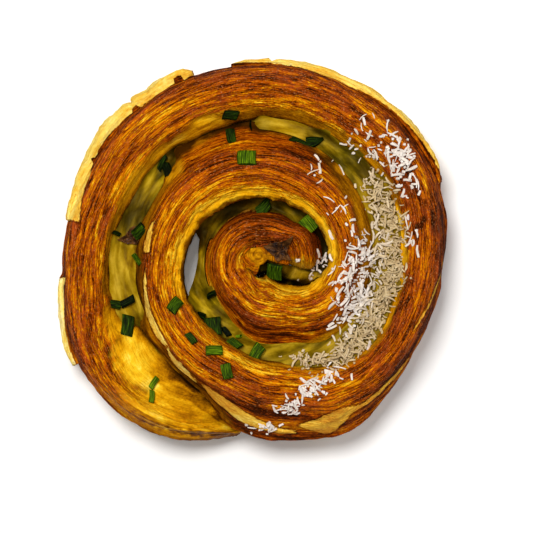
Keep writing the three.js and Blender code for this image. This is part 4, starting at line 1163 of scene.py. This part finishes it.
def scrap_part(ground, number, middle, curl, outline):
    """A thin crumpled scrap: radial folds, edges curling up."""
    outline = np.array(outline + outline[:1])
    way = way_along(outline)
    s = np.linspace(0, way[-1], int(way[-1] / SCRAP_EDGE), endpoint=False)
    edge = np.stack([np.interp(s, way, outline[:, axis]) for axis in (0, 1)], -1)
    edge += 0.16 * np.stack([noise(s / 0.8, line, 91 + number) for line in (1.5, 6.5)], -1)
    share = np.linspace(0.06, 1, SCRAP_RINGS)[:, None]
    plan = np.array(middle) + (edge - middle)[None] * share[..., None]
    ground_height = np.array([[ground.height(*p) for p in ring] for ring in plan])
    base = np.maximum(ground_height, np.percentile(ground_height, 75) - 1.2)
    turn = np.arctan2(edge[:, 1] - middle[1], edge[:, 0] - middle[0])[None]
    fold = np.abs(np.sin(3.5 * turn + 2.0 * share + number)) + 0.5 * np.abs(np.sin(8 * turn - 3 * share))
    x, y = plan[..., 0], plan[..., 1]
    crumple = noise(x / 0.9, y / 0.9, 93) + 0.5 * noise(x / 0.45, y / 0.45, 94)
    top = base + 0.35 + curl * share ** 2 * 0.6 + 0.55 * fold * share * (1 - 0.4 * share) + 0.22 * crumple
    upper = np.concatenate([plan, top[..., None]], -1)
    rings = np.concatenate([upper - [0, 0, SCRAP_THICKNESS], upper[::-1]])
    dark = 0.64 + 0.35 * (0.6 - fold) + 0.2 * crumple - 0.25 * share
    return closed_tube(rings, {"tone": np.concatenate([dark, dark[::-1]])})


def mushroom_part(ground):
    return joined([scrap_part(ground, i, *scrap) for i, scrap in enumerate(SCRAPS)])


# -------- all the pieces

dough = mesh_piece("dough", dough_part(), crust_material())
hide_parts("pastry")
filling = mesh_piece("filling_strip", filling_strip(), filling_material())
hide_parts("filling")
core = mesh_piece("filling_core", filling_core(), dough.data.materials[0])
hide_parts("filling")
ground = Ground(dough, filling, core)
mesh_piece("chopped_chives", chives_part(ground), chive_material())
mesh_piece("mushroom_scraps", mushroom_part(ground), mushroom_material())
mesh_piece("grated_cheese", cheese_part(ground), cheese_material(), flat=True)


# -------- floor, light and camera

PIXEL = 0.28                                  # millimetres of the object for each pixel of the picture
FRAME_PIXELS = 533
ORIGIN_PIXEL = (252.5, 250.0)                 # where the object's origin shows
LENS, SENSOR = 150.0, 36.0
LEVEL_IN_FOCUS = 24.0                         # height at which the scale above holds
FLOOR_HALF, FLOOR_LEVEL = 1.6, -0.0003        # metres


def add_floor():
    n = Nodes("floor")
    tone = n.ramp(n.noise(n.place(), 6.0, 2.0), [(0.3, (240, 240, 240)), (0.7, (243, 243, 243))])
    corners = [(x * FLOOR_HALF, y * FLOOR_HALF, 0) for x, y in ((-1, -1), (1, -1), (1, 1), (-1, 1))]
    floor = mesh_object("floor", corners, [(0, 1, 2, 3)], n.finish(Base_Color=tone, Roughness=0.7))
    floor.location.z = FLOOR_LEVEL


def add_light(name, location, size, power, colour):
    light = bpy.data.lights.new(name, "AREA")
    light.shape, light.size, light.energy, light.color = "DISK", size, power, colour
    lamp = bpy.data.objects.new(name, light)
    lamp.location = location
    lamp.rotation_euler = (-Vector(location)).to_track_quat("-Z", "Y").to_euler()
    bpy.context.scene.collection.objects.link(lamp)


def add_world(strength):
    world = bpy.data.worlds.new("studio")
    world.use_nodes = True
    background = world.node_tree.nodes["Background"]
    background.inputs["Color"].default_value = (1.0, 1.0, 1.0, 1.0)
    background.inputs["Strength"].default_value = strength
    bpy.context.scene.world = world


def add_camera():
    data = bpy.data.cameras.new("camera")
    data.lens, data.sensor_width = LENS, SENSOR
    distance = FRAME_PIXELS * PIXEL * LENS / SENSOR
    camera = bpy.data.objects.new("camera", data)
    camera.location = ((FRAME_PIXELS / 2 - ORIGIN_PIXEL[0]) * PIXEL * MM,
                       (ORIGIN_PIXEL[1] - FRAME_PIXELS / 2) * PIXEL * MM,
                       (distance + LEVEL_IN_FOCUS) * MM)
    bpy.context.scene.collection.objects.link(camera)
    bpy.context.scene.camera = camera


# name, place in metres, size, power, colour
LIGHTS = [("key", (-0.13, 0.20, 0.80), 0.26, 6.4, (1.0, 0.985, 0.96)),
          ("top", (0.0, 0.01, 0.90), 0.05, 1.2, (1.0, 0.97, 0.92)),
          ("rim", (0.55, 0.30, 0.50), 0.30, 0.8, (1.0, 1.0, 1.0))]
WORLD_STRENGTH = 0.24

add_floor()
for light in LIGHTS:
    add_light(*light)
add_world(WORLD_STRENGTH)
add_camera()
bpy.context.scene.view_settings.view_transform = "Standard"
